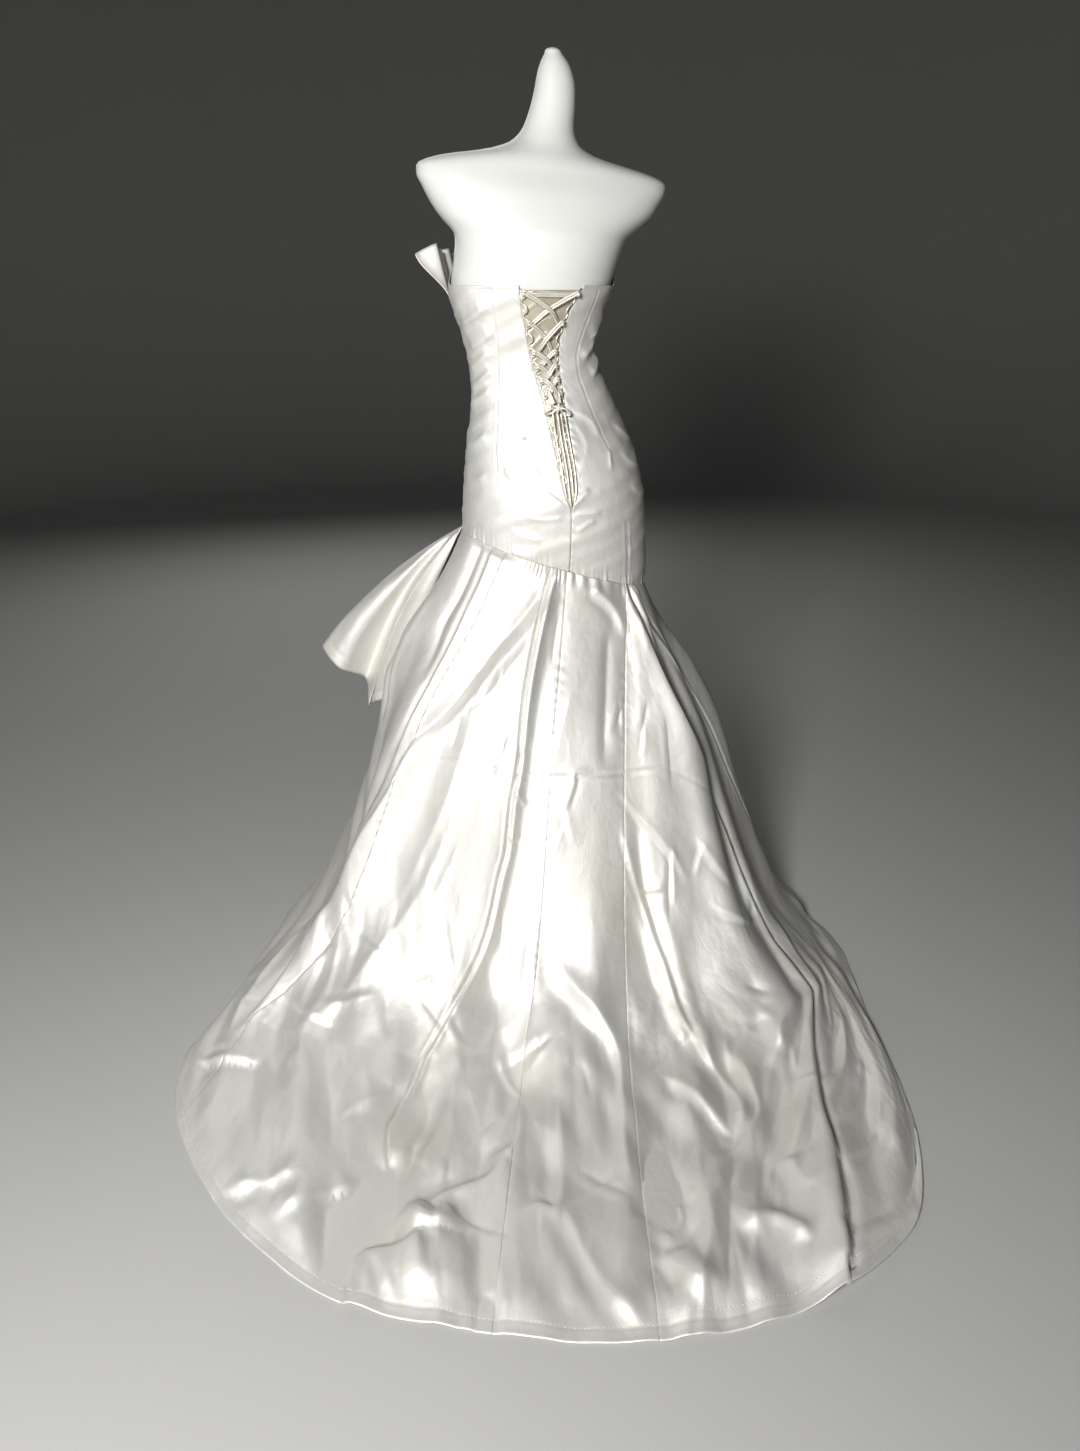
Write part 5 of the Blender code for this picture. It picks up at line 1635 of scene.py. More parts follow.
# Creases of the skirt: places are threads and shares; two lines serve two creases each
LEFT_GROOVE = (
    23, 0, 26, 0.062, 25, 0.15, 22, 0.256, 22.5, 0.319, 22, 0.381, 23, 0.419, 24, 0.5, 26.5, 0.581,
    28, 0.675, 30, 0.756, 30, 0.8,
)
SLANTING_FOLD = (
    22, 0.019, 34, 0.062, 44.5, 0.131, 50.5, 0.219, 56, 0.294, 60, 0.363,
)
SKIRT_CREASES = (
    edge_fold(0.007, 0.013, 61, 0, 60.5, 0.056, 60.5, 0.106, 59.5, 0.181, 59, 0.25, 59.5, 0.325,
        61.5, 0.406, side=-1, fades=(0, 0.3)),
    trough(0.013, 0.009, 67, 0, 67, 0.088, 68, 0.15, 65, 0.2, 62.5, 0.263, fades=(0, 0.4)),
    trough(0.011, 0.007, *SLANTING_FOLD, 64, 0.4, fades=(0.1, 0.2)),
    ridge(0.016, 0.006, *SLANTING_FOLD, shift=0.024, fades=(0.15, 0.2)),
    trough(0.007, 0.003, 26.5, 0.094, 34.5, 0.144, 40, 0.194, 47, 0.238),
    edge_fold(0.009, 0.014, 57.5, 0.269, 56.5, 0.325, 57.5, 0.394, 60, 0.494, 61, 0.58, 61.5, 0.65,
        61, 0.713, 58, 0.781, 57, 0.819, 59, 0.881, soft=6, side=-1, fades=(0.15, 0.2)),
    trough(0.018, 0.012, 61, 0.33, 63, 0.42, 66, 0.52, 67, 0.62, 66, 0.7),
    groove(0.0032, 0.0045, *LEFT_GROOVE, 26.5, 0.881, fades=(0, 0.08)),
    ridge(0.010, 0.006, *LEFT_GROOVE, shift=0.009, fades=(0, 0.15)),
    trough(0.016, 0.003, 12, 0, 15, 0.094, 18, 0.156, 17.5, 0.219, 17.5, 0.263, 18, 0.312, 19, 0.394,
        20.5, 0.488, 22, 0.544, 24.5, 0.6, 26, 0.68, fades=(0.05, 0.3)),
    crumple(0.0038, 0.0036, 22.5, 0.3, 19, 0.312, 17, 0.318),
    crumple(0.0038, 0.0036, 22.5, 0.365, 18, 0.36),
    crumple(0.013, 0.012, 27, 0.881, 24.5, 0.888, 21, 0.9, 19, 0.881, 21, 0.863),
    trough(0.012, 0.005, -3, 0.05, -3, 0.106, -3, 0.188, -3, 0.263),
    crumple(0.008, 0.004, 2.5, 0.013, -4, 0.038, -8, 0.081, fades=(0.1, 0.3)),
    groove(0.009, 0.005, -12.5, 0.288, -15.5, 0.4, -19.5, 0.5, -21, 0.6, -24, 0.7),
    edge_fold(0.006, 0.015, -30, 0, -35, 0.08, -39.5, 0.17, -46, 0.26, -49.5, 0.34, -51.5, 0.45, -51, 0.54,
        -49, 0.59, -45, 0.64, -43, 0.7, -41.8, 0.78, -41.8, 0.84, -41, 0.9, -40, 0.975, soft=8,
        fades=(0.06, 0)),
    crumple(0.010, 0.007, -43.5, 0.66, -50, 0.67, -58, 0.69),
    crumple(0.008, 0.005, -43, 0.72, -48, 0.73, -56, 0.76),
    crumple(0.008, 0.005, -43, 0.775, -48, 0.78, -53, 0.8),
    crumple(0.007, 0.004, -42.5, 0.82, -46, 0.825, -51, 0.84),
    crumple(0.007, 0.004, -42.5, 0.87, -46, 0.88, -50, 0.89),
    trough(0.011, 0.012, -42.5, 0.86, -42.3, 0.91, -41, 0.97),
    groove(0.006, 0.012, -29.5, 0, -38, 0.062, -40, 0.106, fades=(0, 0.4)),
    ridge(0.005, 0.003, -37, 0.013, -43, 0.035, -54, 0.113, -60.5, 0.213),
    groove(0.003, 0.0022, -42.5, 0, -52, 0.07, -58, 0.125, -61.5, 0.213, -67, 0.331, -70, 0.456, -74, 0.588,
        -77, 0.73, fades=(0, 0.1)),
    groove(0.0032, 0.0012, 55.5, 0.325, 46, 0.294, 36, 0.281, 22, 0.281, 14, 0.275, 4.5, 0.269, -0.5, 0.263,
        -16, 0.256, -34, 0.263, -52.5, 0.338, fades=(0.1, 0.1)),
    crumple(0.0055, 0.0034, -6, 0.281, -14, 0.312, -24.5, 0.363, -30, 0.413),
    crumple(0.0050, 0.0030, -7.5, 0.325, -12.5, 0.394, -18, 0.481),
    crumple(0.0050, 0.0032, -34.5, 0.344, -42, 0.431),
    crumple(0.0042, 0.0030, -14, 0.419, -22.5, 0.413),
    crumple(0.0055, 0.0032, -33.5, 0.438, -51, 0.525),
    crumple(0.0042, 0.0028, 6.5, 0.319, 4.5, 0.281, 4, 0.263, -0.5, 0.263),
    crumple(0.0045, 0.0030, -26, 0.356, -24, 0.438),
    ridge(0.012, 0.010, 72, 0.76, 64.5, 0.8, 60.5, 0.825, 59.3, 0.89),
    ridge(0.024, 0.009, 31.5, 0.281, 37.5, 0.35, 41, 0.456, 46, 0.575, 47.5, 0.65, 48, 0.706, 52.5, 0.812),
    ridge(0.020, 0.006, 44, 0.044, 41, 0.144, 41.5, 0.244, 42, 0.331, 45, 0.444, 48.5, 0.569),
    groove(0.007, 0.006, 83.5, 0.1, 82, 0.219, 82, 0.288, 79.5, 0.356, 78.5, 0.425),
    crumple(0.015, 0.013, 8.5, 0.475, 4.5, 0.525, -1.5, 0.569, -7, 0.631, -7, 0.763, -8, 0.85),
    crumple(0.011, 0.009, 3.5, 0.694, 2.5, 0.844, 6, 0.856, 10, 0.875),
    crumple(0.011, 0.008, 2.5, 0.844, -3.5, 0.944, -8, 0.994),
    crumple(0.013, 0.010, -14.5, 0.419, -19, 0.519, -21, 0.606, -28, 0.719, -25.5, 0.8, -22.5, 0.812),
    crumple(0.011, 0.008, -27, 0.6, -27, 0.638, -29.5, 0.681, -31, 0.75, -22.5, 0.812),
    crumple(0.010, 0.007, -13.5, 0.663, -16.5, 0.669, -22, 0.719, -27, 0.775),
    crumple(0.010, 0.006, -34, 0.59, -35.5, 0.638, -37.5, 0.68),
    crumple(0.011, 0.007, -34.5, 0.82, -37, 0.885),
    ridge(0.024, 0.018, -24, 0.894, -30.5, 0.894, -37, 0.944),
    crumple(0.010, 0.007, -11, 0.9, -15, 0.869, -14.5, 0.834),
    crumple(0.010, 0.007, -11, 0.9, -13.5, 0.931, -16.5, 0.97),
    crumple(0.013, 0.011, 26.5, 0.881, 22, 0.906, 24, 0.928, 32, 0.95),
    trough(0.013, 0.012, 28.5, 0.8, 28.5, 0.865, 26.5, 0.93),
    crumple(0.010, 0.007, 23, 0.713, 23.5, 0.769, 25, 0.819, 26.5, 0.875),
    crumple(0.013, 0.011, 10.5, 0.669, 10, 0.769, 12.5, 0.794, 13.5, 0.819, 19.5, 0.85, 25.5, 0.888),
    crumple(0.011, 0.008, 47.5, 0.985, 38.5, 0.888),
    crumple(0.011, 0.008, 40.5, 0.968, 36.5, 0.906, 32, 0.85),
    crumple(0.011, 0.008, 62.5, 0.965, 56.5, 0.881, 51.5, 0.819),
    crumple(0.008, 0.006, 32, 0.95, 29.5, 1, fades=(0.3, 0)),
    groove(0.009, 0.007, 11.5, 0.956, 11.5, 1, fades=(0.4, 0)),
)


@dataclass
class Bodice:
    """The fitted bodice, cut in five panels, and the panel behind the lacing.

    Attributes:
        body: The surface that it is cut for.
        side_left: Angle of the wearer's left side seam.
        side_right: Angle of the right side seam.
        front_seam: Angle of the front seams.
        rows: Rows of points.
        column_degrees: Degrees between columns.
        modesty_shares: Shares of the bodice's height that the panel behind the lacing spans.
        modesty_under: How far that panel runs under the bodice's edges, in degrees.
        modesty_grid: Its rows and columns of points.
        stand_off: How far the top edge stands away at the right bust.
        gather_depth: Depth of the small gathers over the hip seam.
        slack_depth: Depth of the soft unevenness all over.
        seam_fold: How far the cloth turns in at its seams.
        top_fold: Depth of the line sewn under its top edge.
        top_hem: Distance of that line from the top edge.
        pucker_depth: Depth of the puckers beside its seams.
        seed: Seed of the small uneven gathers.
    """

    body: BodyShape
    side_left: float = 92.0
    side_right: float = -84.0
    front_seam: float = 150.0
    rows: int = 170
    column_degrees: float = 0.9
    modesty_shares: tuple[float, float] = (0.13, 0.985)
    modesty_under: float = 8.0
    modesty_grid: tuple[int, int] = (150, 70)
    stand_off: float = 0.009
    gather_depth: float = 0.0017
    slack_depth: float = 0.0007
    seam_fold: float = 0.0007
    top_fold: float = 0.0006
    top_hem: float = 0.006
    pucker_depth: float = 0.0007
    seed: int = 11

    def edge_angle(self, edge: float, share: Array) -> Array:
        """Returns the angle of a panel's edge; an edge of 1 or -1 is that side of the opening."""
        if abs(edge) != 1:
            return np.full(np.shape(share), float(edge))
        angle = np.zeros(np.shape(share))
        for _ in range(4):
            angle = self.body.opening_edge(self.body.bodice_height(angle, share), int(edge))
        return angle

    def relief(self, angle: Array, height: Array, share: Array) -> Array:
        """Gives the cloth's small relief over the form.

        Args:
            angle: Angles.
            height: Heights.
            share: Shares of the panel's height.

        Returns:
            How far out each point goes; in is at most the cloth's own depth.
        """
        rng = np.random.default_rng(self.seed)
        points = self.body.lifted(angle, height, OUTER_LIFT)
        field_ = CreaseField(BODICE_CREASES, lambda a, h: self.body.lifted(a, h, OUTER_LIFT))
        relief = field_.heights(points, self.body.normals(angle, height))
        wave = soft_noise(rng, wrapped(angle), 3.6, 6) * soft_noise(rng, wrapped(angle) + 60.0, 17.0, 3)
        above_seam = height - self.body.hip_seam(angle)
        relief += self.gather_depth * np.maximum(wave, -0.4) * bell(above_seam, 0.016)
        slack = soft_noise(rng, height * 1000.0 + wrapped(angle) * 0.9, 37.0, 5)
        relief += self.slack_depth * np.maximum(slack, -0.6)
        below_top = self.body.top_edge(angle) - height
        bust = bell(wrapped(angle) + 116.0, 20.0)
        return np.maximum(relief, -0.0011) + self.stand_off * bust * ease(1 - below_top / 0.055)

    def panel(self, first: float, last: float) -> ClothWall:
        """Builds one panel between two edges.

        Args:
            first: Its first edge.
            last: Its last edge.

        Returns:
            The wall.
        """
        inner_rows = np.linspace(0.0, 1.0, self.rows)
        share = np.unique(np.concatenate([inner_rows, [0.003, 0.988, 0.9915, 0.9965]]))
        start, end = self.edge_angle(first, share), self.edge_angle(last, share)
        count = int(round(np.max(end - start) / self.column_degrees)) + 1
        across = np.unique(np.concatenate([np.linspace(0.0, 1.0, count), [0.004, 0.012, 0.988, 0.996]]))
        trim = np.degrees(SEAM_GAP / 2 / 0.10)
        angle = (start + trim)[:, None] + ((end - start) - 2 * trim)[:, None] * across[None, :]
        share = np.broadcast_to(share[:, None], angle.shape)
        height = self.body.bodice_height(angle, share)
        relief = self.relief(angle, height, share)
        outer = self.body.lifted(angle, height, OUTER_LIFT + relief)
        run = arc_lengths(outer, 1)
        from_side = np.minimum(run, run[:, -1:] - run)
        rise = arc_lengths(outer, 0)
        from_top = rise[-1:] - rise
        fold = self.seam_fold * bell(from_side, 0.0016)
        fold = fold + self.top_fold * bell(from_top - self.top_hem, 0.0016)
        uneven = np.sin(rise / 0.0027 + 2.0 * np.sin(rise / 0.019))
        pucker = self.pucker_depth * uneven * bell(from_side, 0.006)
        outer_lift = OUTER_LIFT + np.maximum(relief + pucker, -0.0006) - fold * 0.8
        inner_lift = BODICE_LIFT + np.maximum(relief + np.minimum(pucker, 0), 0.0)
        outer, inner = (self.body.lifted(angle, height, lift) for lift in (outer_lift, inner_lift))
        inner[0], outer[0] = self.body.on_seam(inner[0], 1), self.body.on_seam(outer[0], 1)
        return ClothWall(inner, outer)

    def add_panels(self, finish: Material) -> None:
        """Adds the five panels, pulled smooth over the form."""
        panels = {
            "back_left": (1, self.side_left),
            "side_front_left": (self.side_left, self.front_seam),
            "centre_front": (self.front_seam, 360.0 - self.front_seam),
            "side_front_right": (-self.front_seam, self.side_right),
            "back_right": (self.side_right, -1),
        }
        for name, (first, last) in panels.items():
            wall = self.panel(first, last)
            node = "bodice_" + name
            wall.sew_in("bodice_cloth_" + name, [finish], "ivory_satin", node, "stretched", "torso_shell")

    def add_modesty(self, finish: Material) -> None:
        """Adds the creased panel behind the lacing."""
        rows, columns = self.modesty_grid
        share = np.linspace(*self.modesty_shares, rows)
        left, right = self.edge_angle(1, share), self.edge_angle(-1, share)
        under = self.modesty_under
        across = np.linspace(0.0, 1.0, columns)[None, :]
        angle = (right - under)[:, None] + (left - right + 2 * under)[:, None] * across
        height = self.body.bodice_height(angle, share[:, None])
        rng = np.random.default_rng(5)
        slant = soft_noise(rng, height * 1000.0 + 9.0 * np.sin(angle / 5.0) + angle * 0.6, 19.0, 6)
        open_part = (angle > (right - 0.2)[:, None]) & (angle < (left + 0.2)[:, None])
        creases = np.where(open_part, 0.0011 * np.maximum(slant, -0.2) ** 2, 0.0)
        inner = self.body.lifted(angle, height, SKIN_GAP + creases * 0.6)
        outer = self.body.lifted(angle, height, SKIN_GAP + MODESTY_THICKNESS + creases)
        wall = ClothWall(inner, outer)
        wall.sew_in(
            "lacing_underlay", [finish], "cream_lining", "modesty_panel", "stretched", "torso_shell"
        )


@dataclass
class Skirt:
    """The skirt's seven gores, which fall from the hip seam and run out as a train.

    Attributes:
        shape: The skirt's surface.
        back_degrees: Degrees between columns at the back.
        front_degrees: Degrees between columns at the front.
        back_rows: Rows at the back.
        front_rows: Rows at the front.
        loft: How far the lying cloth stands off the floor.
        hem_depth: Depth of the turned hem.
        facet_depths: Depths of the large and the small crushed facets.
        pucker_depth: Depth of the puckers beside its seams.
        gather_depth: Depth of the gathers under the hip seam.
        seam_fold: How far the cloth turns in at its seams.
        hem_fold: Depth of the line sewn along its hem.
        seed: Seed of the small uneven creases.
        seams: Thread of each seam.
    """

    shape: SkirtShape
    back_degrees: float = 0.29
    front_degrees: float = 0.8
    back_rows: int = 326
    front_rows: int = 180
    loft: float = 0.008
    hem_depth: float = 0.018
    facet_depths: tuple[float, float] = (0.0250, 0.0095)
    pucker_depth: float = 0.0007
    gather_depth: float = 0.0016
    seam_fold: float = 0.0006
    hem_fold: float = 0.0004
    seed: int = 23
    seams: dict[str, float] = field(
        default_factory=lambda: {
            "centre_back": 10.5,
            "back_right": -9.0,
            "side_right": -82.0,
            "front_right": -145.0,
            "front_left": 145.0,
            "side_left": 90.0,
            "back_left": 57.0,
        }
    )

    def scattered(self) -> tuple[Crease, ...]:
        """Returns small uneven creases over the train and round the hidden sides."""
        rng = np.random.default_rng(self.seed)
        creases = []
        for count, threads, shares, turn, drop, width, height in (
            (44, (-50.0, 60.0), (0.52, 0.93), 8.0, 0.075, 0.0060, 0.0030),
            (34, (-44.0, 62.0), (0.05, 0.50), 4.0, 0.09, 0.0045, 0.0017),
            (46, (88.0, 280.0), (0.05, 0.85), 7.0, 0.16, 0.013, 0.0060),
        ):
            for _ in range(count):
                thread, share = rng.uniform(*threads), rng.uniform(*shares)
                lean, fall = rng.normal(0.0, turn), rng.uniform(0.4, 1.3) * drop
                bend = rng.normal(0.0, turn * 0.08)
                middle = (thread + lean * 0.5 + bend, share + fall / 2)
                last = (thread + lean, min(share + fall, 0.995))
                size = rng.uniform(0.6, 1.4)
                rise = height * size * rng.choice((-1.0, 1.0))
                creases.append(crumple(width * size, rise, thread, share, *middle, *last, fades=(0.4, 0.4)))
        return tuple(creases)

    def crush(self, turn: Array, share: Array) -> Array:
        """Gives the crushed relief of the satin, deepest down the middle of the train.

        Args:
            turn: Threads from -180 to 180.
            share: Shares of the skirt's fall.

        Returns:
            How far out each point goes.
        """
        across, along = np.radians(turn) * (0.22 + 0.55 * share), share * 1.15
        rng = np.random.default_rng(self.seed + 1)
        patch = 0.35 * soft_noise(rng, turn + 31.0 * share, 41.0, 4)
        patch = 0.65 + patch * soft_noise(rng, share * 100.0, 31.0, 3)
        right_edge = 0.22 * ease((-turn - 46.0) / 6.0) * ease((turn + 100.0) / 12.0)
        middle = 0.30 + 0.70 * ease(2.2 - np.abs(turn - 2.0) / 31.0) - right_edge
        low = 0.10 + 0.90 * ease((share - 0.40) / 0.26)
        strength = np.clip(patch, 0.25, 1.1) * middle * low
        large = crumpled(across, along * 0.55, 0.105, self.seed + 2)
        small = crumpled(across, along * 0.65, 0.050, self.seed + 3)
        return strength * (self.facet_depths[0] * large + self.facet_depths[1] * small)

    def gore(self, first: float, last: float, degrees: float, rows: int, creases: CreaseField) -> ClothWall:
        """Builds one gore between two seams.

        Args:
            first: Thread of its first seam.
            last: Thread of its last seam.
            degrees: Degrees between columns.
            rows: Rows.
            creases: The skirt's creases.

        Returns:
            The wall.
        """
        shape = self.shape
        close_rows = 1.0 - np.array([0.003, 0.007, 0.0105, 0.0125, 0.0145, 0.018]) / 1.2
        even_rows = np.linspace(0.0, 1.0, rows)
        share = np.unique(np.concatenate([even_rows, [0.0012, 0.0025], close_rows]))[:, None]
        columns = int(round((last - first) / degrees)) + 1
        across = np.unique(np.concatenate([np.linspace(0.0, 1.0, columns), [0.0016, 0.0048, 0.9952, 0.9984]]))
        edges = np.array([[first], [last]])
        beside = shape.base(edges + 0.5, share.T) - shape.base(edges - 0.5, share.T)
        per_degree = np.linalg.norm(beside, axis=-1)
        trim = SEAM_GAP / 2 / per_degree
        start, end = (first + trim[0])[:, None], (last - trim[1])[:, None]
        thread, share = np.broadcast_arrays(start + (end - start) * across[None, :], share)
        base, facing = shape.base(thread, share), shape.base_normals(thread, share)
        lying = shape.lying(base)
        fold = shape.fold_height(thread, share)
        fold = np.where(fold < 0, fold * (1 - lying), fold * (1 - shape.lying_fold_loss * lying))
        rng = np.random.default_rng(self.seed)
        turn = wrapped(thread)
        unrest = soft_noise(rng, turn + 26.0 * share, 11.0, 5) * soft_noise(rng, share * 100.0, 17.0, 3)
        hem = ease((1 - share) / 0.05)
        height = fold + creases.heights(base, facing) * ease(share / 0.014)
        height += lying * hem * self.loft * (1 + 0.45 * unrest)
        height += lying * (1 - hem) * 0.0010 * (1 + soft_noise(rng, turn, 9.0, 4))
        height += self.crush(turn, share) * ease(share / 0.03) * (0.25 + 0.75 * hem)
        gathers = soft_noise(rng, turn, 2.6, 6) * bell(turn - 8.0, 30.0)
        below_seam = arc_lengths(base, 0)
        height += self.gather_depth * gathers * bell(below_seam - 0.008, 0.014)
        points = base + facing * height[..., None]
        run, fall = arc_lengths(points, 1), arc_lengths(points, 0)
        from_side = np.minimum(run, run[:, -1:] - run)
        uneven = 0.5 + 0.5 * np.sin(fall / 0.061 + 1.7 * np.sin(fall / 0.023) + first)
        pucker = self.pucker_depth * uneven * np.sin(fall / 0.0036 + 3.5 * np.sin(fall / 0.037))
        pucker = pucker * bell(from_side, 0.008)
        points = points + facing * (pucker * (1 - 0.5 * lying) * ease(share / 0.02))[..., None]
        points[..., 2] = np.maximum(points[..., 2], FLOOR_CLEARANCE)
        normals = wall_normals(points, rows_run_down=True)
        normals[..., 2] *= ease(share / 0.06)
        from_hem = fall[-1:] - fall
        fold_in = self.seam_fold * bell(from_side, 0.0018)
        fold_in += self.hem_fold * bell(from_hem - self.hem_depth, 0.0022)
        outer = points + normalised(normals) * (CLOTH_THICKNESS - fold_in)[..., None]
        outer[..., 2] = np.maximum(outer[..., 2], FLOOR_CLEARANCE)
        points[0], outer[0] = shape.body.on_seam(points[0], -1), shape.body.on_seam(outer[0], -1)
        return ClothWall(points, outer)

    def add_gores(self, finish: Material) -> list[Array]:
        """Adds the seven gores.

        Args:
            finish: The satin.

        Returns:
            The line of stitches along each gore's hem.
        """
        s = self.seams
        back, front = (self.back_degrees, self.back_rows), (self.front_degrees, self.front_rows)
        gores = {
            "skirt_back_left": (s["centre_back"], s["back_left"], *back),
            "skirt_side_back_left": (s["back_left"], s["side_left"], *back),
            "skirt_side_front_left": (s["side_left"], s["front_left"], *front),
            "skirt_centre_front": (s["front_left"], s["front_right"] + 360.0, *front),
            "skirt_side_front_right": (s["front_right"], s["side_right"], *front),
            "skirt_side_back_right": (s["side_right"], s["back_right"], *back),
            "skirt_back_right": (s["back_right"], s["centre_back"], *back),
        }
        creases = CreaseField(SKIRT_CREASES + self.scattered(), self.shape.base)
        hems = []
        for node, (first, last, degrees, rows) in gores.items():
            wall = self.gore(first, last, degrees, rows, creases)
            name, side = node.replace("skirt_", "gore_"), "left" if "left" in node else "right"
            wall.sew_in(name, [finish], "ivory_satin", node, "hung", "bodice_cloth_back_" + side)
            hems.append(wall.stitch_line(self.hem_depth, True))
        return hems


@dataclass
class Flounce:
    """The folded flounce sewn into the hip seam at the wearer's left.

    Attributes:
        body: The surface that it hangs from.
        columns: Columns of points.
        rows: Rows of points.
        bulge: How far it stands out.
        swell: Under 1, it stands out most near its seam.
        root_gap: Gap to the skirt at the seam.
        seam_drop: How far its root lies under the seam.
        pleat_depth: Depth of its soft pleats at the hem.
        facet_depth: Depth of its crushed facets.
        hem_band: Width of its turned hem.
        hem_dip: Depth of the line sewn along that hem.
    """

    body: BodyShape
    columns: int = 200
    rows: int = 70
    bulge: float = 0.031
    swell: float = 0.85
    root_gap: float = 0.0010
    seam_drop: float = 0.0008
    pleat_depth: float = 0.0065
    facet_depth: float = 0.0020
    hem_band: float = 0.022
    hem_dip: float = 0.0009

    def wall(self) -> ClothWall:
        """Builds its wall."""
        along = np.linspace(0.0, 1.0, self.columns)[None, :]
        down = np.linspace(0.0, 1.0, self.rows)[:, None]
        seam_angle = smooth_table(FLOUNCE_HEM, along, 1)
        root_lift = OUTER_LIFT + CLOTH_THICKNESS / 2 + self.root_gap
        root = self.body.on_seam(self.body.lifted(seam_angle, self.body.hip_seam(seam_angle), root_lift), -1)
        root[..., 2] -= self.seam_drop
        turn = np.radians(smooth_table(FLOUNCE_HEM, along, 2))
        distance = smooth_table(FLOUNCE_HEM, along, 3)
        hem_height = smooth_table(FLOUNCE_HEM, along, 4)
        hem = np.stack([distance * np.sin(turn), distance * np.cos(turn), hem_height], axis=-1)
        outward = normalised((hem - root) * np.array([1.0, 1.0, 0.0]))
        points = root + (hem - root) * down[..., None]
        bulge = self.bulge * (0.2 + 0.8 * ease(along / 0.14)) * np.sin(np.pi * down**self.swell)
        points = points + outward * bulge[..., None]
        normals = wall_normals(points, rows_run_down=True)
        wave = np.sin(2 * np.pi * (3.3 * along + 0.35 * np.sin(5.0 * along + 1.0)))
        wave = wave + 0.3 * np.sin(2 * np.pi * 9.7 * along)
        facets = crumpled(along * 0.62, down * 0.17, 0.042, 5)
        relief = self.pleat_depth * wave * down**0.8 * ease(down / 0.08)
        relief = relief + self.facet_depth * facets * ease(down / 0.2)
        points = points + normals * relief[..., None]
        normals = wall_normals(points, rows_run_down=True)
        fall = arc_lengths(points, 0)
        from_hem = fall[-1:] - fall
        dip = self.hem_dip * bell(from_hem - self.hem_band, 0.0026)
        half = CLOTH_THICKNESS / 2
        return ClothWall(points - normals * half, points + normals * (half - dip)[..., None])

    def add(self, satin: Material, lining: Material) -> Array:
        """Adds the flounce, satin outside and lining inside.

        Args:
            satin: Its outer finish.
            lining: Its inner finish.

        Returns:
            The line of stitches along its hem.
        """
        wall = self.wall()
        layers = [satin, lining]
        wall.sew_in(
            "hip_flounce_cloth", layers, "ivory_satin", "hip_flounce", "gathered", "gore_side_front_left"
        )
        return wall.stitch_line(self.hem_band, True)


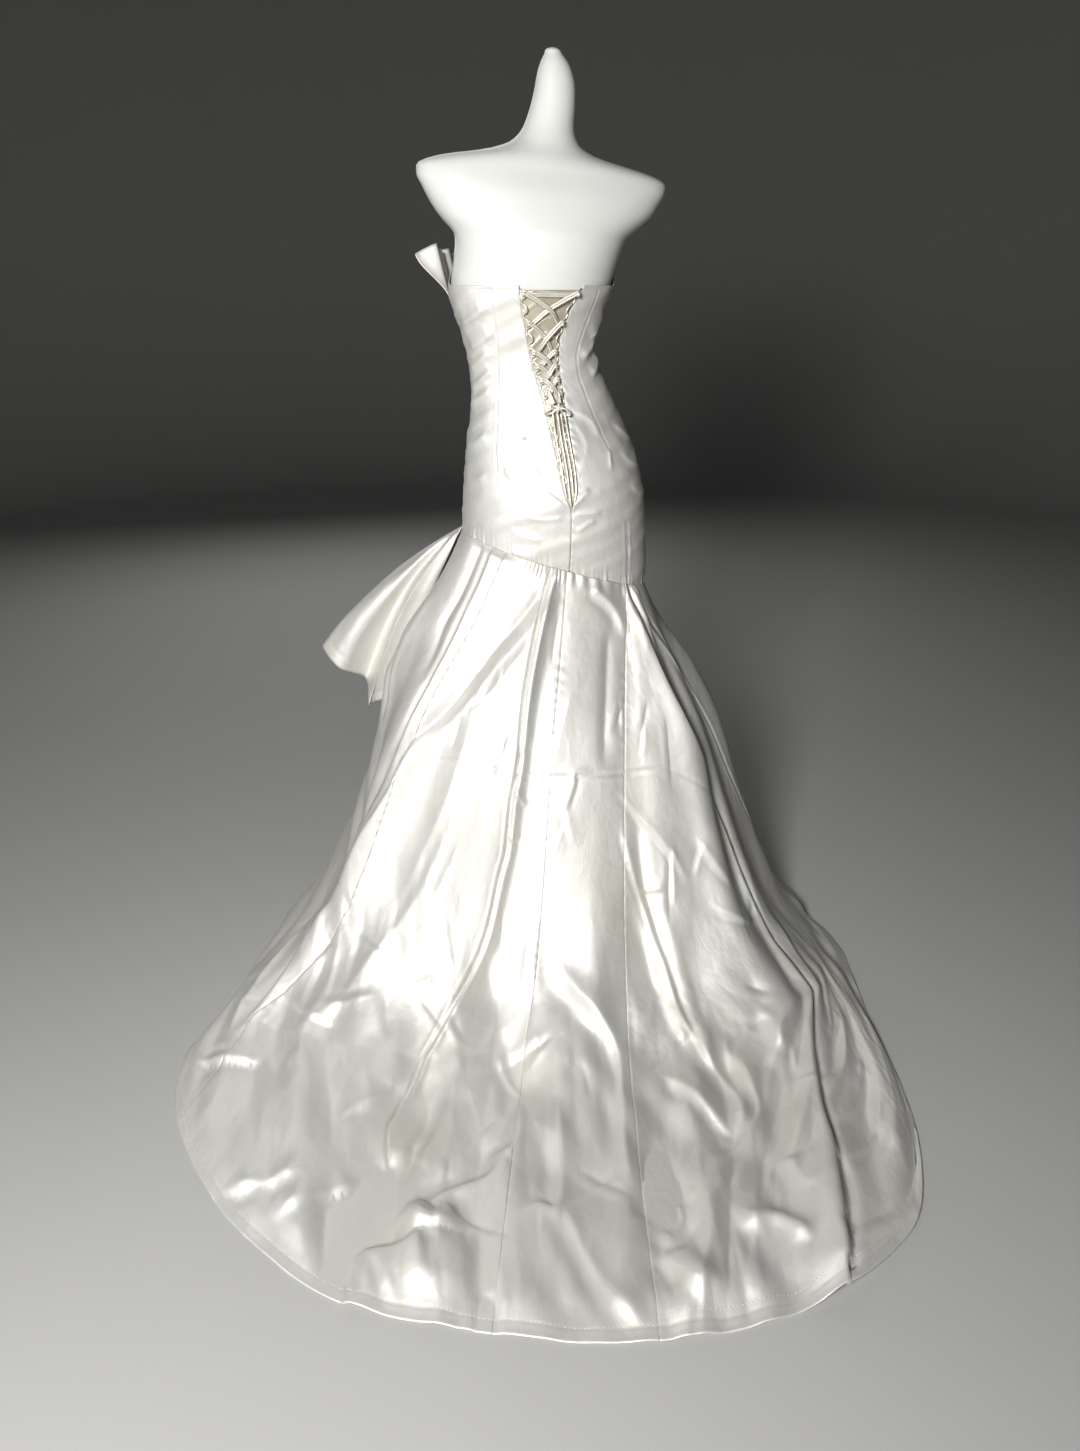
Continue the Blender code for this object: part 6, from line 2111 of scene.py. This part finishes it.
@dataclass
class BustFan:
    """The pleated fan along the wearer's left bust.

    Attributes:
        body: The surface that it stands on.
        angles: Its first and last angle.
        root_below_top: How far its root is sewn below the top edge.
        highest_root: The greatest height of its root.
        height: Its height.
        lean: How far it leans out.
        swell: Under 1, it swells out low down.
        lower_ends: Share of its height that its ends lose.
        root_sink: How far its root sinks into the bodice's curve.
        pleats: Number of pleats.
        pleat_depth: Their depth.
        columns: Columns of points.
        rows: Rows of points.
        stitch_drops: Distance of each line of stitches from its upper edge.
        stitch_dip: Depth of those lines.
    """

    body: BodyShape
    angles: tuple[float, float] = (97.0, 150.0)
    root_below_top: float = 0.024
    highest_root: float = 1.188
    height: float = 0.070
    lean: float = 0.019
    swell: float = 0.85
    lower_ends: float = 0.15
    root_sink: float = 0.0003
    pleats: int = 4
    pleat_depth: float = 0.017
    columns: int = 220
    rows: int = 46
    stitch_drops: tuple[float, float] = (0.004, 0.009)
    stitch_dip: float = 0.0007

    def wall(self) -> ClothWall:
        """Builds its wall."""
        along = np.linspace(0.0, 1.0, self.columns)[None, :]
        up = np.linspace(0.0, 1.0, self.rows)[:, None]
        angle = self.angles[0] + (self.angles[1] - self.angles[0]) * along
        root_height = np.minimum(self.body.top_edge(angle) - self.root_below_top, self.highest_root)
        edge = self.body.lifted(angle, root_height, OUTER_LIFT + CLOTH_THICKNESS / 2 - self.root_sink)
        outward = self.body.normals(angle, root_height)
        outward[..., 2] = 0.0
        outward = normalised(outward)
        wave = np.cos(2 * np.pi * self.pleats * along)
        pleat = np.sign(wave) * np.abs(wave) ** 0.95 * self.pleat_depth * ease(up)
        arch = 1 - self.lower_ends * (1 - np.sin(np.pi * np.maximum(along, 0.35)))
        arch = arch + 0.10 * bell(along - 0.12, 0.12)
        rise = self.height * arch * (1 - 0.055 * (wave + 1)) * up
        lean = self.lean * up**self.swell + pleat + self.pleat_depth * ease(up)
        points = edge + outward * lean[..., None] + rise[..., None] * np.array([0.0, 0.0, 1.0])
        normals = wall_normals(points, rows_run_down=False)
        climb = arc_lengths(points, 0)
        from_top = climb[-1:] - climb
        lines = sum(bell(from_top - drop, 0.0012) for drop in self.stitch_drops)
        dip = self.stitch_dip * lines
        half = CLOTH_THICKNESS / 2
        return ClothWall(points - normals * half, points + normals * (half - dip)[..., None])

    def add(self, finish: Material) -> list[Array]:
        """Adds the fan.

        Args:
            finish: The satin.

        Returns:
            The two lines of stitches along its upper edge.
        """
        wall = self.wall()
        wall.sew_in(
            "bust_fan_cloth", [finish], "ivory_satin", "bust_fan", "folded", "bodice_cloth_side_front_left"
        )
        return [wall.stitch_line(drop, False) for drop in self.stitch_drops]


def main() -> None:
    """Builds the scene, piece by piece."""
    logging.basicConfig(level=logging.INFO, format="%(name)s: %(message)s")
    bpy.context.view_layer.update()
    studio = Studio()
    studio.add_camera()
    finishes = Finishes()
    body = BodyShape()
    tube, stitches = PathTree.tube(), PathTree.stitches()
    lacing = Lacing(body)
    lacing.add_tails(tube, finishes.cord)
    lacing.add_strands(tube, finishes.cord)
    lacing.add_loops(tube, finishes.cord)
    lacing.add_knot(tube, finishes.cord)
    form = DressForm(body)
    form.add_torso(finishes.shell)
    form.dress_stand(finishes.shell, finishes.steel)
    bodice = Bodice(body)
    bodice.add_modesty(finishes.lining)
    bodice.add_panels(finishes.satin)
    hems = Skirt(SkirtShape(body)).add_gores(finishes.skirt)
    hems.append(Flounce(body).add(finishes.satin, finishes.lining))
    sizes = {"Radius": 0.0003, "Spacing": 0.006, "Length": 0.0034}
    set_in_place(lay_along("hem_stitches", hems, stitches, finishes.cord, sizes), "ivory_satin")
    edges = BustFan(body).add(finishes.satin)
    sizes = {"Radius": 0.00025, "Spacing": 0.0032, "Length": 0.0021}
    set_in_place(lay_along("fan_stitches", edges, stitches, finishes.cord, sizes), "ivory_satin")
    studio.add_floor(finishes.floor)
    studio.add_lights()


if __name__ == "__main__":
    main()
